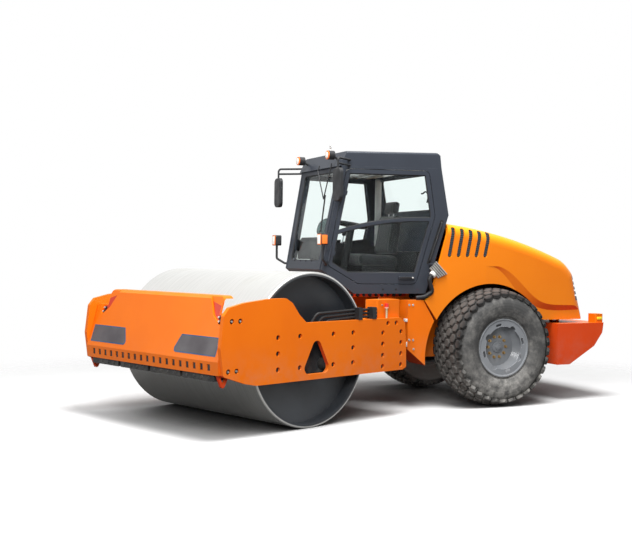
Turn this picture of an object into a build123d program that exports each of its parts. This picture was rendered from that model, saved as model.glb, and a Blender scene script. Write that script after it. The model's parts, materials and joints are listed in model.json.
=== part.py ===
# Single-drum road roller: articulated frame, smooth steel drum, tapered cab and one-piece hood.
# Every piece is drawn about the steering pivot of a machine that stands straight:
# +X forward, +Y left, +Z up, ground at Z = 0. The front half is then turned to its parked angle.
import os
from math import atan, atan2, cos, degrees, hypot, radians, sin, sqrt, tan

from build123d import *

os.makedirs("parts", exist_ok=True)

# Running gear
pivot_to_drum = 1590
pivot_to_axle = 1591
parked_steer = 20
running_gap = 0.3
drum_radius = 800
drum_width = 2220
drum_wall = 40
drum_edge = 8
head_depth = 150
head_thickness = 35
head_dish = 100
drum_hub_radius = 190
drum_hub_length = 120
spindle_radius = 95
tyre_radius = 700
tyre_width = 600
tyre_outer_y = 1150
tyre_bead_half = 250
lug_height = 26
lug_rows = 4
lugs_per_row = 28
lug_share = 0.72
lug_taper = 0.6
lug_row_width = 118
lug_row_pitch = 134
shoulder_drop = 24
rim_radius = 345
rim_wall = 18
rim_lip = 24
rim_edge = 12
rim_ring_setback = 8
rim_ring_radius = 252
rim_ring_thickness = 16
rim_slots = 4
wheel_disc_setback = 190
wheel_disc_thickness = 30
wheel_hub_radius = 175
axle_stub_radius = 60

# Front frame
plate_outer_y = 1195
plate_thickness = 45
plate_bottom = drum_radius - 290
arm_top = drum_radius + 290
hump_top = drum_radius + 542
bolt_recess_radius = 26
bolt_recess_depth = 24
buffer_column = 532
buffer_inner_column = 237
buffer_row = 158
buffer_radius = 68
carrier_thickness = 30
carrier_margin = 88
buffer_length = 120
carrier_corner = 60
beam_sheet = 30
beam_bottom = drum_radius - 168
beam_fold = beam_bottom + 128
beam_top = beam_bottom + 740
beam_toe = drum_radius + 440
beam_head = beam_toe - 180
beam_slots = 19
slot_pitch = 112
slot_width = 46
slot_height = 62
corner_step = 165
corner_round = 70
pocket_depth = 18
scraper_width = 500
scraper_gap = 12
scraper_pitch = 545
front_blade_drop = 188
rear_blade_drop = 145
cross_clearance = 160
cross_rear = 250
cross_wall = 30
post_width = 190
post_height = 200
post_gap = 6
hose_radius = 14
hose_pitch = 38
hose_count = 3
hose_end_z = drum_radius + 175
hose_bend = 400
hose_run = 400
clamp_length = 60
clamp_setback = 100
clamp_spacing = 220

# Centre joint
hitch_height = 800
cross_bottom = hitch_height - 255
cross_top = hitch_height + 262
king_pin_radius = 70
swing_shaft_radius = 100
boss_radius = 170
boss_rear = 205
lug_thickness = 50
lug_gap = 160
lug_nose = 130
clevis_x = 160
clevis_y = 330
cylinder_pin_x = -700
cylinder_pin_y = 250
cylinder_pin_radius = 25
barrel_radius = 45
barrel_reach = 572
rod_radius = 28
rod_length = 525
rod_eye_radius = 40
cylinder_eye_height = 60

# Rear frame
rail_y = 500
rail_thickness = 40
rail_bottom = 560
rail_top = 1000
deck_underside = 1290
deck_thickness = 40
deck_front = 200
deck_rear = -640
rail_front = -250
bumper_front = -2495
bumper_rear = -3232
bumper_top = 960
bumper_bottom = 450
axle_tube_radius = 125
differential_radius = 230
hub_drum_radius = 190
fender_front = -421
fender_bottom = 500
fender_top = 1262
panel_gap = 12

# Hood
hood_half = 880
fender_outer_y = hood_half - panel_gap
bumper_half = hood_half + 70
hood_wall = 40
hood_bottom = 1005
hood_crown = 2190
hood_shoulder = 150
hood_rear_round = 220
recess_depth = 26
arch_top = 1452
arch_front_x = -800
arch_rear_x = -2330
louvre_count = 5
louvre_pitch = 124
louvre_width = 58
grille_bottom = 1242
grille_top = 1550
grille_bars = 5
groove_height = 24
groove_depth = 22
hood_hinge_x = -2900
hood_hinge_z = 985
hood_hinge_y = 360
hood_knuckle_radius = 22
hood_knuckle_length = 120
hood_pin_radius = 10
hood_lug_radius = 15
hood_lug_width = 22

# Cab
cab_wall = 60
cab_front_half = 530
cab_rear_half = 830
cab_front_x = 560
cab_rear_x = -830
cab_floor_z = deck_underside + deck_thickness
cab_crown = 2985
roof_height = 185
cab_eave = cab_crown - roof_height
floor_thickness = 60
visor_reach = 30
front_lean = 0.19
front_foot_x = 525
front_foot_rise = 0.211
footwell_toe_drop = 34
glass_thickness = 8
door_gap = 8
door_thickness = 45
door_rim = 46
rail_band = 36
hinge_stand_off = 16
hinge_radius = 12
hinge_length = 60
hinge_space = 5
hinge_leaf = 8
hinge_pin_radius = 5
lower_glass_drop = 84
door_corner = 60
door_foot_rise = 20
door_head_drop = 35
door_sill_rise = 119
rear_pillar = 151
waist_pillar = 166
pillar_width = 60
waist_rise = 0.632
rail_rise = 0.456

drum_x = pivot_to_drum
cross_front = drum_x - drum_radius - cross_clearance
axle_x = -pivot_to_axle
axle_z = tyre_radius
plate_inner_y = plate_outer_y - plate_thickness
carrier_outer_y = plate_inner_y - buffer_length
carrier_inner_y = carrier_outer_y - carrier_thickness
tyre_inner_y = tyre_outer_y - tyre_width
cab_taper = atan((cab_rear_half - cab_front_half) / (cab_front_x - cab_rear_x))
cab_height = cab_eave - cab_floor_z
front_foot_z = cab_floor_z + front_foot_rise * cab_height
footwell_toe_z = front_foot_z - footwell_toe_drop
door_foot_z = front_foot_z + door_foot_rise
door_head_z = cab_eave - door_head_drop
door_sill_z = cab_floor_z + door_sill_rise
lower_glass_z = door_foot_z - lower_glass_drop
waist_z = cab_floor_z + waist_rise * cab_height
rail_z = cab_floor_z + rail_rise * cab_height
pieces = {}


def side_plane(y):
    # Upright plane facing right at a distance y to the left of the centre line
    return Plane.XZ.offset(-y)


def drum_at(dx, z):
    # A place on the front frame, measured forward from the drum axle
    return (drum_x + dx, z)


def both_sides(part):
    # A left piece together with its mirror image
    with BuildPart() as pair:
        add(part)
        mirror(part, about=Plane.XZ)
    return pair.part


def turned_right(part):
    with BuildPart() as right:
        mirror(part, about=Plane.XZ)
    return right.part


# Drum with dished heads and hub sleeves
drum_axis = Axis((drum_x, 0, drum_radius), (0, 1, 0))
drum_section = Plane(origin=(drum_x, 0, drum_radius), x_dir=(0, 1, 0), z_dir=(1, 0, 0))
head_rim_y = drum_width / 2 - head_depth
head_hub_y = head_rim_y - head_dish
shell_inner = drum_radius - drum_wall
with BuildPart() as drum:
    with BuildSketch(drum_section) as section:
        with Locations((0, drum_radius - drum_wall / 2)):
            Rectangle(drum_width, drum_wall)
        chamfer(section.vertices().group_by(Axis.Y)[-1], drum_edge)
        with BuildLine():
            Polyline(
                (head_rim_y, shell_inner),
                (head_rim_y - head_thickness, shell_inner),
                (head_hub_y - head_thickness, drum_hub_radius),
                (head_hub_y - drum_hub_length, drum_hub_radius),
                (head_hub_y - drum_hub_length, spindle_radius),
                (head_hub_y, spindle_radius),
                (head_hub_y, drum_hub_radius),
                close=True,
            )
        head = make_face()
        mirror(head, about=Plane.YZ)
    revolve(axis=drum_axis)
pieces["drum"] = (drum.part, "front")

# Carrier plates with the drum spindles, hung on the rubber buffers
buffer_places = [(dx, dz) for dx in (-buffer_column, buffer_column) for dz in (-buffer_row, 0, buffer_row)]
inner_columns = (-buffer_inner_column, buffer_inner_column)
buffer_places += [(dx, dz) for dx in inner_columns for dz in (-buffer_row, buffer_row)]
carrier_length = 2 * (buffer_column + carrier_margin)
carrier_height = 2 * (buffer_row + carrier_margin)
spindle_collar_y = head_hub_y + 40
with BuildPart() as carrier:
    with BuildSketch(side_plane(carrier_outer_y)):
        with Locations(drum_at(0, drum_radius)):
            RectangleRounded(carrier_length, carrier_height, carrier_corner)
    extrude(amount=carrier_thickness)
    with BuildSketch(side_plane(carrier_inner_y)):
        with Locations(drum_at(0, drum_radius)):
            Circle(drum_hub_radius)
    extrude(amount=carrier_inner_y - spindle_collar_y)
    with BuildSketch(side_plane(spindle_collar_y)):
        with Locations(drum_at(0, drum_radius)):
            Circle(spindle_radius - running_gap)
    extrude(amount=spindle_collar_y - head_hub_y + drum_hub_length)
pieces["drum_carriers"] = (both_sides(carrier.part), "front")

with BuildPart() as buffers:
    with BuildSketch(side_plane(plate_inner_y)):
        with Locations([drum_at(dx, drum_radius + dz) for dx, dz in buffer_places]):
            Circle(buffer_radius)
    extrude(amount=buffer_length)
pieces["rubber_buffers"] = (both_sides(buffers.part), "front")

# Side plates: long arm, raised nose and a three-cornered window at the drum axle
plate_rear = cross_rear - drum_x - 55
plate_outline = [
    (plate_rear, plate_bottom + 25), (plate_rear + 65, plate_bottom), (beam_toe - 430, plate_bottom),
    (beam_toe - 290, plate_bottom + 28), (beam_toe - 26, beam_bottom - 7), (beam_toe + 11, beam_bottom + 263),
    (beam_toe - 27, hump_top - 149), (beam_toe - 93, hump_top - 73), (beam_toe - 280, hump_top - 32),
    (641, hump_top), (429, hump_top), (343, hump_top - 48), (246, arm_top + 83), (148, arm_top),
    (plate_rear + 101, arm_top), (plate_rear + 29, arm_top - 59), (plate_rear + 7, drum_radius + 3),
]
window_corners = [(0, drum_radius + 175), (212, drum_radius - 234), (-212, drum_radius - 234)]
recess_places = [(dx, drum_radius + dz) for dx, dz in buffer_places]
rear_columns = (plate_rear + 394, plate_rear + 93)
recess_places += [(dx, drum_radius + dz) for dx in rear_columns for dz in (-232, -110, 14, 134)]
recess_places += [(plate_rear + dx, arm_top - 55) for dx in (313, 176)]
recess_places += [(beam_toe + dx, hump_top - 204) for dx in (-123, -226)]
recess_places += [(beam_toe + dx, beam_bottom + 36) for dx in (-84, -186)]
with BuildPart() as side_plate:
    with BuildSketch(side_plane(plate_outer_y)) as outline:
        with BuildLine():
            Polyline(*[drum_at(dx, z) for dx, z in plate_outline], close=True)
        make_face()
        fillet(outline.vertices(), 22)
    extrude(amount=plate_thickness)
    with BuildSketch(side_plane(plate_outer_y)) as window:
        with BuildLine():
            Polyline(*[drum_at(dx, z) for dx, z in window_corners], close=True)
        make_face()
        fillet(window.vertices(), 62)
    extrude(amount=plate_thickness, mode=Mode.SUBTRACT)
    with BuildSketch(side_plane(plate_outer_y)):
        with Locations([drum_at(dx, z) for dx, z in recess_places]):
            Circle(bolt_recess_radius)
    extrude(amount=bolt_recess_depth, mode=Mode.SUBTRACT)
pieces["side_plate_left"] = (side_plate.part, "front")
pieces["side_plate_right"] = (turned_right(side_plate.part), "front")


def strip(points, thickness):
    # Closed outline of a bent sheet whose left face follows the points
    normals = []
    for (x0, z0), (x1, z1) in zip(points, points[1:]):
        run = hypot(x1 - x0, z1 - z0)
        normals.append(((z1 - z0) / run, (x0 - x1) / run))
    corners = [normals[0]]
    for (ax, az), (bx, bz) in zip(normals, normals[1:]):
        share = 1 + ax * bx + az * bz
        corners.append(((ax + bx) / share, (az + bz) / share))
    corners.append(normals[-1])
    inner = [(x + thickness * nx, z + thickness * nz) for (x, z), (nx, nz) in zip(points, corners)]
    return list(points) + inner[::-1]


# Front beam: leaning folded sheet with toe slots, corner pockets and bolted end plates
beam_line = [
    (beam_toe - 190, beam_bottom), (beam_toe, beam_bottom), (beam_toe + 8, beam_fold),
    (beam_head, beam_top - 30), (beam_head - 40, beam_top), (beam_head - 140, beam_top),
]
end_plate = [
    (beam_toe - 190, beam_bottom), (beam_toe - 10, beam_bottom), (beam_toe - 10, beam_fold),
    (beam_toe - 120, beam_bottom + 563), (beam_toe - 275, beam_bottom + 563),
]
slot_plane = Plane(origin=(drum_x + beam_toe + 100, 0, 0), x_dir=(0, 1, 0), z_dir=(1, 0, 0))
face_lean = atan((beam_toe + 8 - beam_head) / (beam_top - 30 - beam_fold))
face_plane = Plane(origin=(drum_x + beam_toe + 8, 0, beam_fold), x_dir=(0, 1, 0),
                   z_dir=(cos(face_lean), 0, sin(face_lean)))
step_y = plate_inner_y - corner_step
round_y = step_y - corner_round
round_z = beam_top - corner_round
step_z = beam_top - corner_step
face_top = (beam_top - beam_fold) / cos(face_lean)
pocket_outline = [(step_y - 195, face_top), (step_y - 80, face_top - 200), (step_y + 50, face_top - 295),
                  (step_y + 75, face_top - 260), (step_y + 75, face_top)]
with BuildPart() as front_beam:
    with BuildSketch(side_plane(plate_inner_y)):
        with BuildLine():
            Polyline(*strip([drum_at(dx, z) for dx, z in beam_line][::-1], beam_sheet), close=True)
        make_face()
    extrude(amount=2 * plate_inner_y)
    with BuildSketch(slot_plane) as openings:
        with Locations((0, beam_bottom + beam_sheet + slot_height / 2 + 8)):
            with GridLocations(slot_pitch, 1, beam_slots, 1):
                Rectangle(slot_width, slot_height)
        with BuildLine():
            RadiusArc((round_y, beam_top), (step_y, round_z), corner_round)
            Polyline((step_y, round_z), (step_y, step_z), (plate_inner_y, step_z),
                     (plate_inner_y, beam_top + 10), (round_y, beam_top + 10), (round_y, beam_top))
        step = make_face()
        mirror(step, about=Plane.YZ)
    extrude(amount=-450, mode=Mode.SUBTRACT)
    with BuildSketch(face_plane):
        with BuildLine():
            Polyline(*pocket_outline, close=True)
        pocket = make_face()
        mirror(pocket, about=Plane.YZ)
    extrude(amount=-pocket_depth, mode=Mode.SUBTRACT)
    for y in (plate_inner_y, beam_sheet - plate_inner_y):
        with BuildSketch(side_plane(y)):
            with BuildLine():
                Polyline(*[drum_at(dx, z) for dx, z in end_plate], close=True)
            make_face()
        extrude(amount=beam_sheet)
pieces["front_beam"] = (front_beam.part, "front")

# Rear cross-member: box beam with the bearing boss of the swing shaft and a raised post at each end
with BuildPart() as cross_member:
    with BuildSketch(side_plane(plate_inner_y)):
        with Locations(((cross_front + cross_rear) / 2, (cross_bottom + cross_top) / 2)):
            Rectangle(cross_front - cross_rear, cross_top - cross_bottom)
            Rectangle(cross_front - cross_rear - 2 * cross_wall, cross_top - cross_bottom - 2 * cross_wall,
                      mode=Mode.SUBTRACT)
    extrude(amount=2 * plate_inner_y)
    with BuildSketch(Plane.YZ.offset(boss_rear)):
        with Locations((0, hitch_height)):
            Circle(boss_radius)
    extrude(amount=cross_rear - boss_rear)
    with BuildSketch(Plane.YZ.offset(boss_rear)):
        with Locations((0, hitch_height)):
            Circle(swing_shaft_radius + running_gap)
    extrude(amount=cross_rear + cross_wall - boss_rear, mode=Mode.SUBTRACT)
    post_y = plate_inner_y - post_gap - post_width / 2
    with BuildSketch(Plane.XY.offset(cross_top)) as posts:
        with Locations(((cross_front + cross_rear) / 2, post_y), ((cross_front + cross_rear) / 2, -post_y)):
            RectangleRounded(cross_front - cross_rear, post_width, 25)
    extrude(amount=arm_top + post_height - cross_top)
pieces["cross_member"] = (cross_member.part, "front")

# Scraper blades before and behind the drum
scraper_radius = drum_radius + scraper_gap
front_blade_x = sqrt(scraper_radius**2 - front_blade_drop**2)
rear_blade_x = sqrt(scraper_radius**2 - rear_blade_drop**2)
front_edge_z = drum_radius - front_blade_drop
rear_edge_z = drum_radius - rear_blade_drop
rear_root = cross_front - drum_x
front_blade = [
    (beam_toe - 20, beam_bottom), (beam_toe - 20, beam_bottom - 64), (beam_toe - 120, beam_bottom - 58),
    (front_blade_x, front_edge_z - 12), (front_blade_x, front_edge_z + 4), (beam_toe - 120, beam_bottom),
]
rear_blade = [
    (rear_root, rear_edge_z - 15), (rear_root, rear_edge_z + 35), (rear_root + 60, rear_edge_z + 35),
    (-rear_blade_x, rear_edge_z + 13), (-rear_blade_x, rear_edge_z - 5), (rear_root + 60, rear_edge_z - 15),
]
with BuildPart() as scrapers:
    for blade in (front_blade, rear_blade):
        for place in (-1.5, -0.5, 0.5, 1.5):
            with BuildSketch(side_plane(place * scraper_pitch + scraper_width / 2)):
                with BuildLine():
                    Polyline(*[drum_at(dx, z) for dx, z in blade], close=True)
                make_face()
            extrude(amount=scraper_width)
pieces["scrapers"] = (scrapers.part, "front")

# Lashing loops under the ends of the front beam
with BuildPart() as lashing_loop:
    with BuildSketch(side_plane(plate_inner_y - 32)) as loop:
        with BuildLine():
            Polyline(drum_at(beam_toe - 165, beam_bottom), drum_at(beam_toe - 15, beam_bottom),
                     drum_at(beam_toe - 80, beam_bottom - 154), close=True)
        make_face()
        fillet(loop.vertices().group_by(Axis.Y)[0], 24)
        offset(amount=-26, kind=Kind.INTERSECTION, mode=Mode.SUBTRACT)
    extrude(amount=28)
pieces["lashing_loops"] = (both_sides(lashing_loop.part), "front")

# Hoses from the left post along the arm to the drum drive, and the clamps that hold them
hose_y = (drum_width / 2 + plate_inner_y) / 2
hose_levels = [arm_top + 24 + hose_pitch * level for level in range(hose_count)]
with BuildPart() as hoses:
    for level, hose_z in enumerate(hose_levels):
        end_x = drum_x - 80 + 80 * level
        with BuildLine() as route:
            FilletPolyline(
                (cross_front, hose_y, hose_z), (cross_front + hose_run, hose_y, hose_z),
                (end_x - 130, hose_y, hose_z - 20), (end_x, carrier_outer_y + 75, hose_end_z),
                (end_x, carrier_outer_y, hose_end_z), radius=[hose_bend, 90, 45],
            )
        with BuildSketch(Plane(origin=route.line @ 0, z_dir=route.line % 0)):
            Circle(hose_radius)
        sweep(path=route.line)
pieces["drum_hoses"] = (hoses.part, "front")

clamp_height = hose_levels[-1] + hose_radius + 14 - arm_top
with BuildPart() as hose_clamps:
    for place in (0, 1):
        clamp_x = cross_front + clamp_setback + place * clamp_spacing
        with Locations((clamp_x, (hose_y + plate_outer_y - 10) / 2, arm_top + clamp_height / 2)):
            Box(clamp_length, plate_outer_y - 10 - hose_y + 30, clamp_height)
    with BuildSketch(Plane.YZ.offset(cross_front)):
        with Locations([(hose_y, z) for z in hose_levels]):
            Circle(hose_radius + running_gap)
    extrude(amount=hose_run, mode=Mode.SUBTRACT)
pieces["hose_clamps"] = (hose_clamps.part, "front")

with BuildPart() as marker_lamp:
    with BuildSketch(Plane.XY.offset(arm_top)):
        with Locations((drum_x - 1080, plate_outer_y - plate_thickness / 2)):
            Circle(11)
    extrude(amount=110)
    with BuildSketch(Plane.XY.offset(arm_top + 110)):
        with Locations((drum_x - 1080, plate_outer_y - plate_thickness / 2)):
            Circle(22)
    extrude(amount=52)
pieces["marker_lamp"] = (marker_lamp.part, "front")

# Hitch: king pin, swing shaft and the two steering arms
lug_low = hitch_height - lug_gap
lug_high = hitch_height + lug_gap
with BuildPart() as hitch:
    with BuildSketch(Plane.XY.offset(lug_low - lug_thickness)):
        Circle(king_pin_radius)
    extrude(amount=2 * (lug_gap + lug_thickness))
    with Locations((20, 0, hitch_height)):
        Box(250, 200, 2 * lug_gap - 40)
    with BuildSketch(Plane.YZ.offset(145)):
        with Locations((0, hitch_height)):
            Circle(swing_shaft_radius)
    extrude(amount=270)
    with BuildSketch(Plane.YZ.offset(145)):
        with Locations((0, hitch_height)):
            Circle(boss_radius - 20)
    extrude(amount=45)
    for z in (hitch_height - cylinder_eye_height / 2 - 30, hitch_height + cylinder_eye_height / 2 + 5):
        with BuildSketch(Plane.XY.offset(z)):
            with BuildLine():
                Polyline((-80, 80), (100, 80), (clevis_x + 38, clevis_y - 25), (clevis_x - 35, clevis_y + 28),
                         close=True)
            arm = make_face()
            mirror(arm, about=Plane.XZ)
            with Locations((clevis_x, clevis_y), (clevis_x, -clevis_y)):
                Circle(rod_eye_radius + 5)
        extrude(amount=25)
pieces["hitch"] = (hitch.part, "front")


def steering_cylinder(side):
    # Barrel and rod between the frame pin and the steering arm, at the parked steering angle
    arm_angle = side * atan2(clevis_y, clevis_x) + radians(parked_steer)
    reach = hypot(clevis_x, clevis_y)
    eye_x = reach * cos(arm_angle)
    eye_y = reach * sin(arm_angle)
    swing = degrees(atan2(eye_y - side * cylinder_pin_y, eye_x - cylinder_pin_x))
    span = hypot(eye_x - cylinder_pin_x, eye_y - side * cylinder_pin_y)
    place = Location((cylinder_pin_x, side * cylinder_pin_y, hitch_height), (0, 0, swing))
    eye_base = Plane.XY.offset(-cylinder_eye_height / 2)
    with BuildPart() as barrel:
        with BuildSketch(eye_base):
            Circle(barrel_radius)
        extrude(amount=cylinder_eye_height)
        with BuildSketch(Plane.YZ):
            Circle(barrel_radius)
        extrude(amount=barrel_reach)
        with BuildSketch(Plane.YZ.offset(2 * barrel_radius)):
            Circle(rod_radius + running_gap)
        extrude(amount=barrel_reach, mode=Mode.SUBTRACT)
        with BuildSketch(Plane.XY.offset(-barrel_radius)):
            Circle(cylinder_pin_radius + running_gap)
        extrude(amount=2 * barrel_radius, mode=Mode.SUBTRACT)
    with BuildPart() as rod:
        with BuildSketch(eye_base):
            with Locations((span, 0)):
                Circle(rod_eye_radius)
        extrude(amount=cylinder_eye_height)
        with BuildSketch(Plane.YZ.offset(span - rod_length)):
            Circle(rod_radius)
        extrude(amount=rod_length)
    return barrel.part.moved(place), rod.part.moved(place)


for side, name in ((1, "left"), (-1, "right")):
    barrel_part, rod_part = steering_cylinder(side)
    pieces[f"cylinder_barrel_{name}"] = (barrel_part, "rear")
    pieces[f"cylinder_rod_{name}"] = (rod_part, "rear")

# Rear frame: two rails with the pivot lugs, cross plates and the deck under the cab
rail_outline = [
    (rail_front, rail_bottom), (-1150, rail_bottom), (-1330, axle_z + axle_tube_radius + 55),
    (-1850, axle_z + axle_tube_radius + 55), (-2030, rail_bottom), (bumper_front, rail_bottom),
    (bumper_front, rail_top), (-900, rail_top), (deck_rear, deck_underside), (rail_front, deck_underside),
]
with BuildPart() as rear_frame:
    for y in (rail_y, rail_thickness - rail_y):
        with BuildSketch(side_plane(y)):
            with BuildLine():
                Polyline(*rail_outline, close=True)
            make_face()
        extrude(amount=rail_thickness)
    for z in (lug_low - lug_thickness, lug_high):
        with BuildSketch(Plane.XY.offset(z)):
            with BuildLine():
                Polyline((20, lug_nose), (rail_front, rail_y - 10), (-780, rail_y - 10), (-780, 10 - rail_y),
                         (rail_front, 10 - rail_y), (20, -lug_nose), close=True)
            make_face()
            Circle(lug_nose)
            Circle(king_pin_radius + running_gap, mode=Mode.SUBTRACT)
        extrude(amount=lug_thickness)
    with BuildSketch(Plane.XY.offset(lug_low)):
        with Locations((cylinder_pin_x, cylinder_pin_y), (cylinder_pin_x, -cylinder_pin_y)):
            Circle(cylinder_pin_radius)
    extrude(amount=2 * lug_gap)
    for x in (-820, bumper_front + 30):
        with Locations((x, 0, (rail_bottom + rail_top) / 2)):
            Box(40, 2 * rail_y - 10, rail_top - rail_bottom)
    with Locations(((deck_front + deck_rear) / 2, 0, deck_underside + deck_thickness / 2)):
        Box(deck_front - deck_rear, 2 * rail_y, deck_thickness)
pieces["rear_frame"] = (rear_frame.part, "rear")

# Rear axle with differential housing, hub drums and wheel stubs
disc_outer_y = tyre_outer_y - wheel_disc_setback
disc_inner_y = disc_outer_y - wheel_disc_thickness
with BuildPart() as rear_axle:
    with BuildSketch(Plane(origin=(axle_x, 0, axle_z), x_dir=(0, 1, 0), z_dir=(1, 0, 0))):
        with BuildLine():
            Polyline((0, 0), (0, differential_radius), (120, differential_radius), (260, axle_tube_radius),
                     (rail_y + 20, axle_tube_radius), (rail_y + 40, hub_drum_radius),
                     (disc_inner_y - 6, hub_drum_radius), (disc_inner_y - 6, axle_stub_radius),
                     (disc_outer_y + 12, axle_stub_radius), (disc_outer_y + 12, 0), close=True)
        axle_half = make_face()
        mirror(axle_half, about=Plane.YZ)
    revolve(axis=Axis((axle_x, 0, axle_z), (0, 1, 0)))
    for y in (rail_y - rail_thickness / 2, rail_thickness / 2 - rail_y):
        with Locations((axle_x, y, axle_z + (axle_tube_radius + 55) / 2)):
            Box(300, rail_thickness + 60, axle_tube_radius + 55)
pieces["rear_axle"] = (rear_axle.part, "rear")

# Wheels: low-pressure tyre with rows of staggered lugs, on a dished rim
wheel_section = Plane(origin=(axle_x, 0, axle_z), x_dir=(0, 1, 0), z_dir=(1, 0, 0))
wheel_axis = Axis((axle_x, 0, axle_z), (0, 1, 0))
tyre_mid_y = (tyre_outer_y + tyre_inner_y) / 2
lug_pitch = 360 / lugs_per_row
crown_radius = tyre_radius - lug_height - 6
crown_half = lug_row_pitch
shoulder_half = tyre_width / 2 - 36
shoulder_radius = crown_radius - 2 * shoulder_drop
bulge_radius = (rim_radius + shoulder_radius) / 2 + 18
half_section = [(crown_half, crown_radius), (shoulder_half, shoulder_radius), (tyre_width / 2, bulge_radius),
                (tyre_width / 2 - 14, bulge_radius - 70), (tyre_bead_half, rim_radius)]


def lug_outline(tip, phase):
    # Toothed ring of one lug row: each lug flat on top, its corners at the tip radius
    root = tip - lug_height
    foot = lug_share * lug_pitch / 2
    head = foot - lug_taper
    corners = []
    for lug in range(lugs_per_row):
        middle = (lug + phase) * lug_pitch
        for radius, angle in ((root, -foot), (tip, -head), (tip, head), (root, foot)):
            turn = radians(middle + angle)
            corners.append((axle_x + radius * sin(turn), axle_z + radius * cos(turn)))
    return corners


with BuildPart() as tyre:
    with BuildSketch(wheel_section):
        with BuildLine():
            Polyline(*[(tyre_mid_y + y, r) for y, r in half_section],
                     *[(tyre_mid_y - y, r) for y, r in half_section[::-1]], close=True)
        make_face()
    revolve(axis=wheel_axis)
    for row in range(lug_rows):
        across = (row - (lug_rows - 1) / 2) * lug_row_pitch
        tip = tyre_radius if abs(across) < lug_row_pitch else tyre_radius - shoulder_drop
        with BuildSketch(side_plane(tyre_mid_y + across + lug_row_width / 2)):
            with BuildLine():
                Polyline(*lug_outline(tip, row % 2 / 2), close=True)
            make_face()
            with Locations((axle_x, axle_z)):
                Circle(shoulder_radius - 30, mode=Mode.SUBTRACT)
        extrude(amount=lug_row_width)
pieces["tyre_left"] = (tyre.part, "rear")
pieces["tyre_right"] = (turned_right(tyre.part), "rear")

# Rim: bead seat, slotted outer ring and the dished wheel disc
rim_bore = rim_radius - rim_wall
rim_outer_y = tyre_mid_y + tyre_bead_half + rim_edge
rim_inner_y = tyre_mid_y - tyre_bead_half - rim_edge
ring_y = rim_outer_y - rim_ring_setback
ring_back_y = ring_y - rim_ring_thickness
with BuildPart() as rim:
    with BuildSketch(wheel_section):
        with BuildLine():
            Polyline(
                (rim_inner_y, rim_radius), (rim_outer_y, rim_radius), (rim_outer_y, rim_radius - rim_lip / 2),
                (ring_y, rim_radius - rim_lip), (ring_y, rim_ring_radius), (ring_back_y, rim_ring_radius),
                (ring_back_y, rim_bore - rim_lip), (disc_outer_y + 60, rim_bore - rim_lip),
                (disc_outer_y, wheel_hub_radius + 50), (disc_outer_y, axle_stub_radius + running_gap),
                (disc_inner_y, axle_stub_radius + running_gap), (disc_inner_y, wheel_hub_radius + 70),
                (disc_outer_y + 20, rim_bore), (rim_inner_y, rim_bore), close=True,
            )
        make_face()
    revolve(axis=wheel_axis)
    with BuildSketch(side_plane(ring_y)):
        with Locations((axle_x, axle_z)):
            with PolarLocations((rim_ring_radius + rim_bore - rim_lip) / 2, rim_slots, start_angle=75):
                SlotOverall(84, 30, rotation=90)
            with PolarLocations(rim_ring_radius - 12, rim_slots, start_angle=30):
                Circle(46)
    extrude(amount=rim_ring_thickness, mode=Mode.SUBTRACT)
pieces["rim_left"] = (rim.part, "rear")
pieces["rim_right"] = (turned_right(rim.part), "rear")

# Engine, counterweight bumper and tail lamps
engine_length = 1000
engine_width = 640
engine_height = 760
engine_mid_x = -1780
mount_height = 60
mount_width = 120
mount_reach = 375
with BuildPart() as engine:
    with Locations((engine_mid_x, 0, rail_top - 50 + engine_height / 2)):
        Box(engine_length, engine_width, engine_height)
    for x in (engine_mid_x - mount_reach, engine_mid_x + mount_reach):
        with Locations((x, 0, rail_top + mount_height / 2)):
            Box(mount_width, 2 * rail_y, mount_height)
pieces["engine_block"] = (engine.part, "rear")

bumper_outline = [
    (bumper_front, bumper_bottom), (bumper_front, bumper_top), (bumper_rear, bumper_top),
    (bumper_rear + 10, bumper_top - 85), (bumper_rear + 165, 670), (bumper_rear + 545, bumper_bottom),
]
with BuildPart() as bumper:
    with BuildSketch(side_plane(bumper_half)):
        with BuildLine():
            Polyline(*bumper_outline, close=True)
        make_face()
    extrude(amount=2 * bumper_half)
    chamfer(bumper.edges().filter_by(Plane.XZ).sort_by(Axis.X)[:2], 25)
    for side in (-1, 1):
        pin_end_y = side * hood_hinge_y + hood_knuckle_length / 2 + hood_lug_width + running_gap
        for y in (pin_end_y, pin_end_y - hood_knuckle_length - hood_lug_width - 2 * running_gap):
            with BuildSketch(side_plane(y)):
                with Locations((hood_hinge_x, hood_hinge_z)):
                    Circle(hood_lug_radius)
                with Locations((hood_hinge_x, (bumper_top + hood_hinge_z) / 2)):
                    Rectangle(2 * hood_lug_radius, hood_hinge_z - bumper_top)
            extrude(amount=hood_lug_width)
        with BuildSketch(side_plane(pin_end_y)):
            with Locations((hood_hinge_x, hood_hinge_z)):
                Circle(hood_pin_radius)
        extrude(amount=hood_knuckle_length + 2 * hood_lug_width)
pieces["bumper"] = (bumper.part, "rear")

tail_lamp_length = 120
tail_lamp_width = 150
tail_lamp_height = 110
with BuildPart() as tail_lamp:
    with BuildSketch(Plane.XY.offset(bumper_top)):
        with Locations((bumper_rear + 10 + tail_lamp_length / 2, bumper_half - 100)):
            RectangleRounded(tail_lamp_length, tail_lamp_width, 18)
    extrude(amount=tail_lamp_height)
pieces["tail_lamps"] = (both_sides(tail_lamp.part), "rear")

# Hood: one-piece shell over engine and wheel arches, hinged at its rear foot
cab_back_lean = 0.291
upper_back_lean = 0.172
cab_back_foot = (-690, cab_floor_z + 6)
hood_face_gap = 40
hood_rear_foot = (-2965, 1100)
hood_rear_top = (-2830, 1585)
hood_block_front = -500
hood_crown_mid = (-2026, 1965)
hood_crown_rear = (-2690, 1735)


def cab_back_x(z):
    return cab_back_foot[0] - cab_back_lean * (z - cab_back_foot[1])


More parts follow.
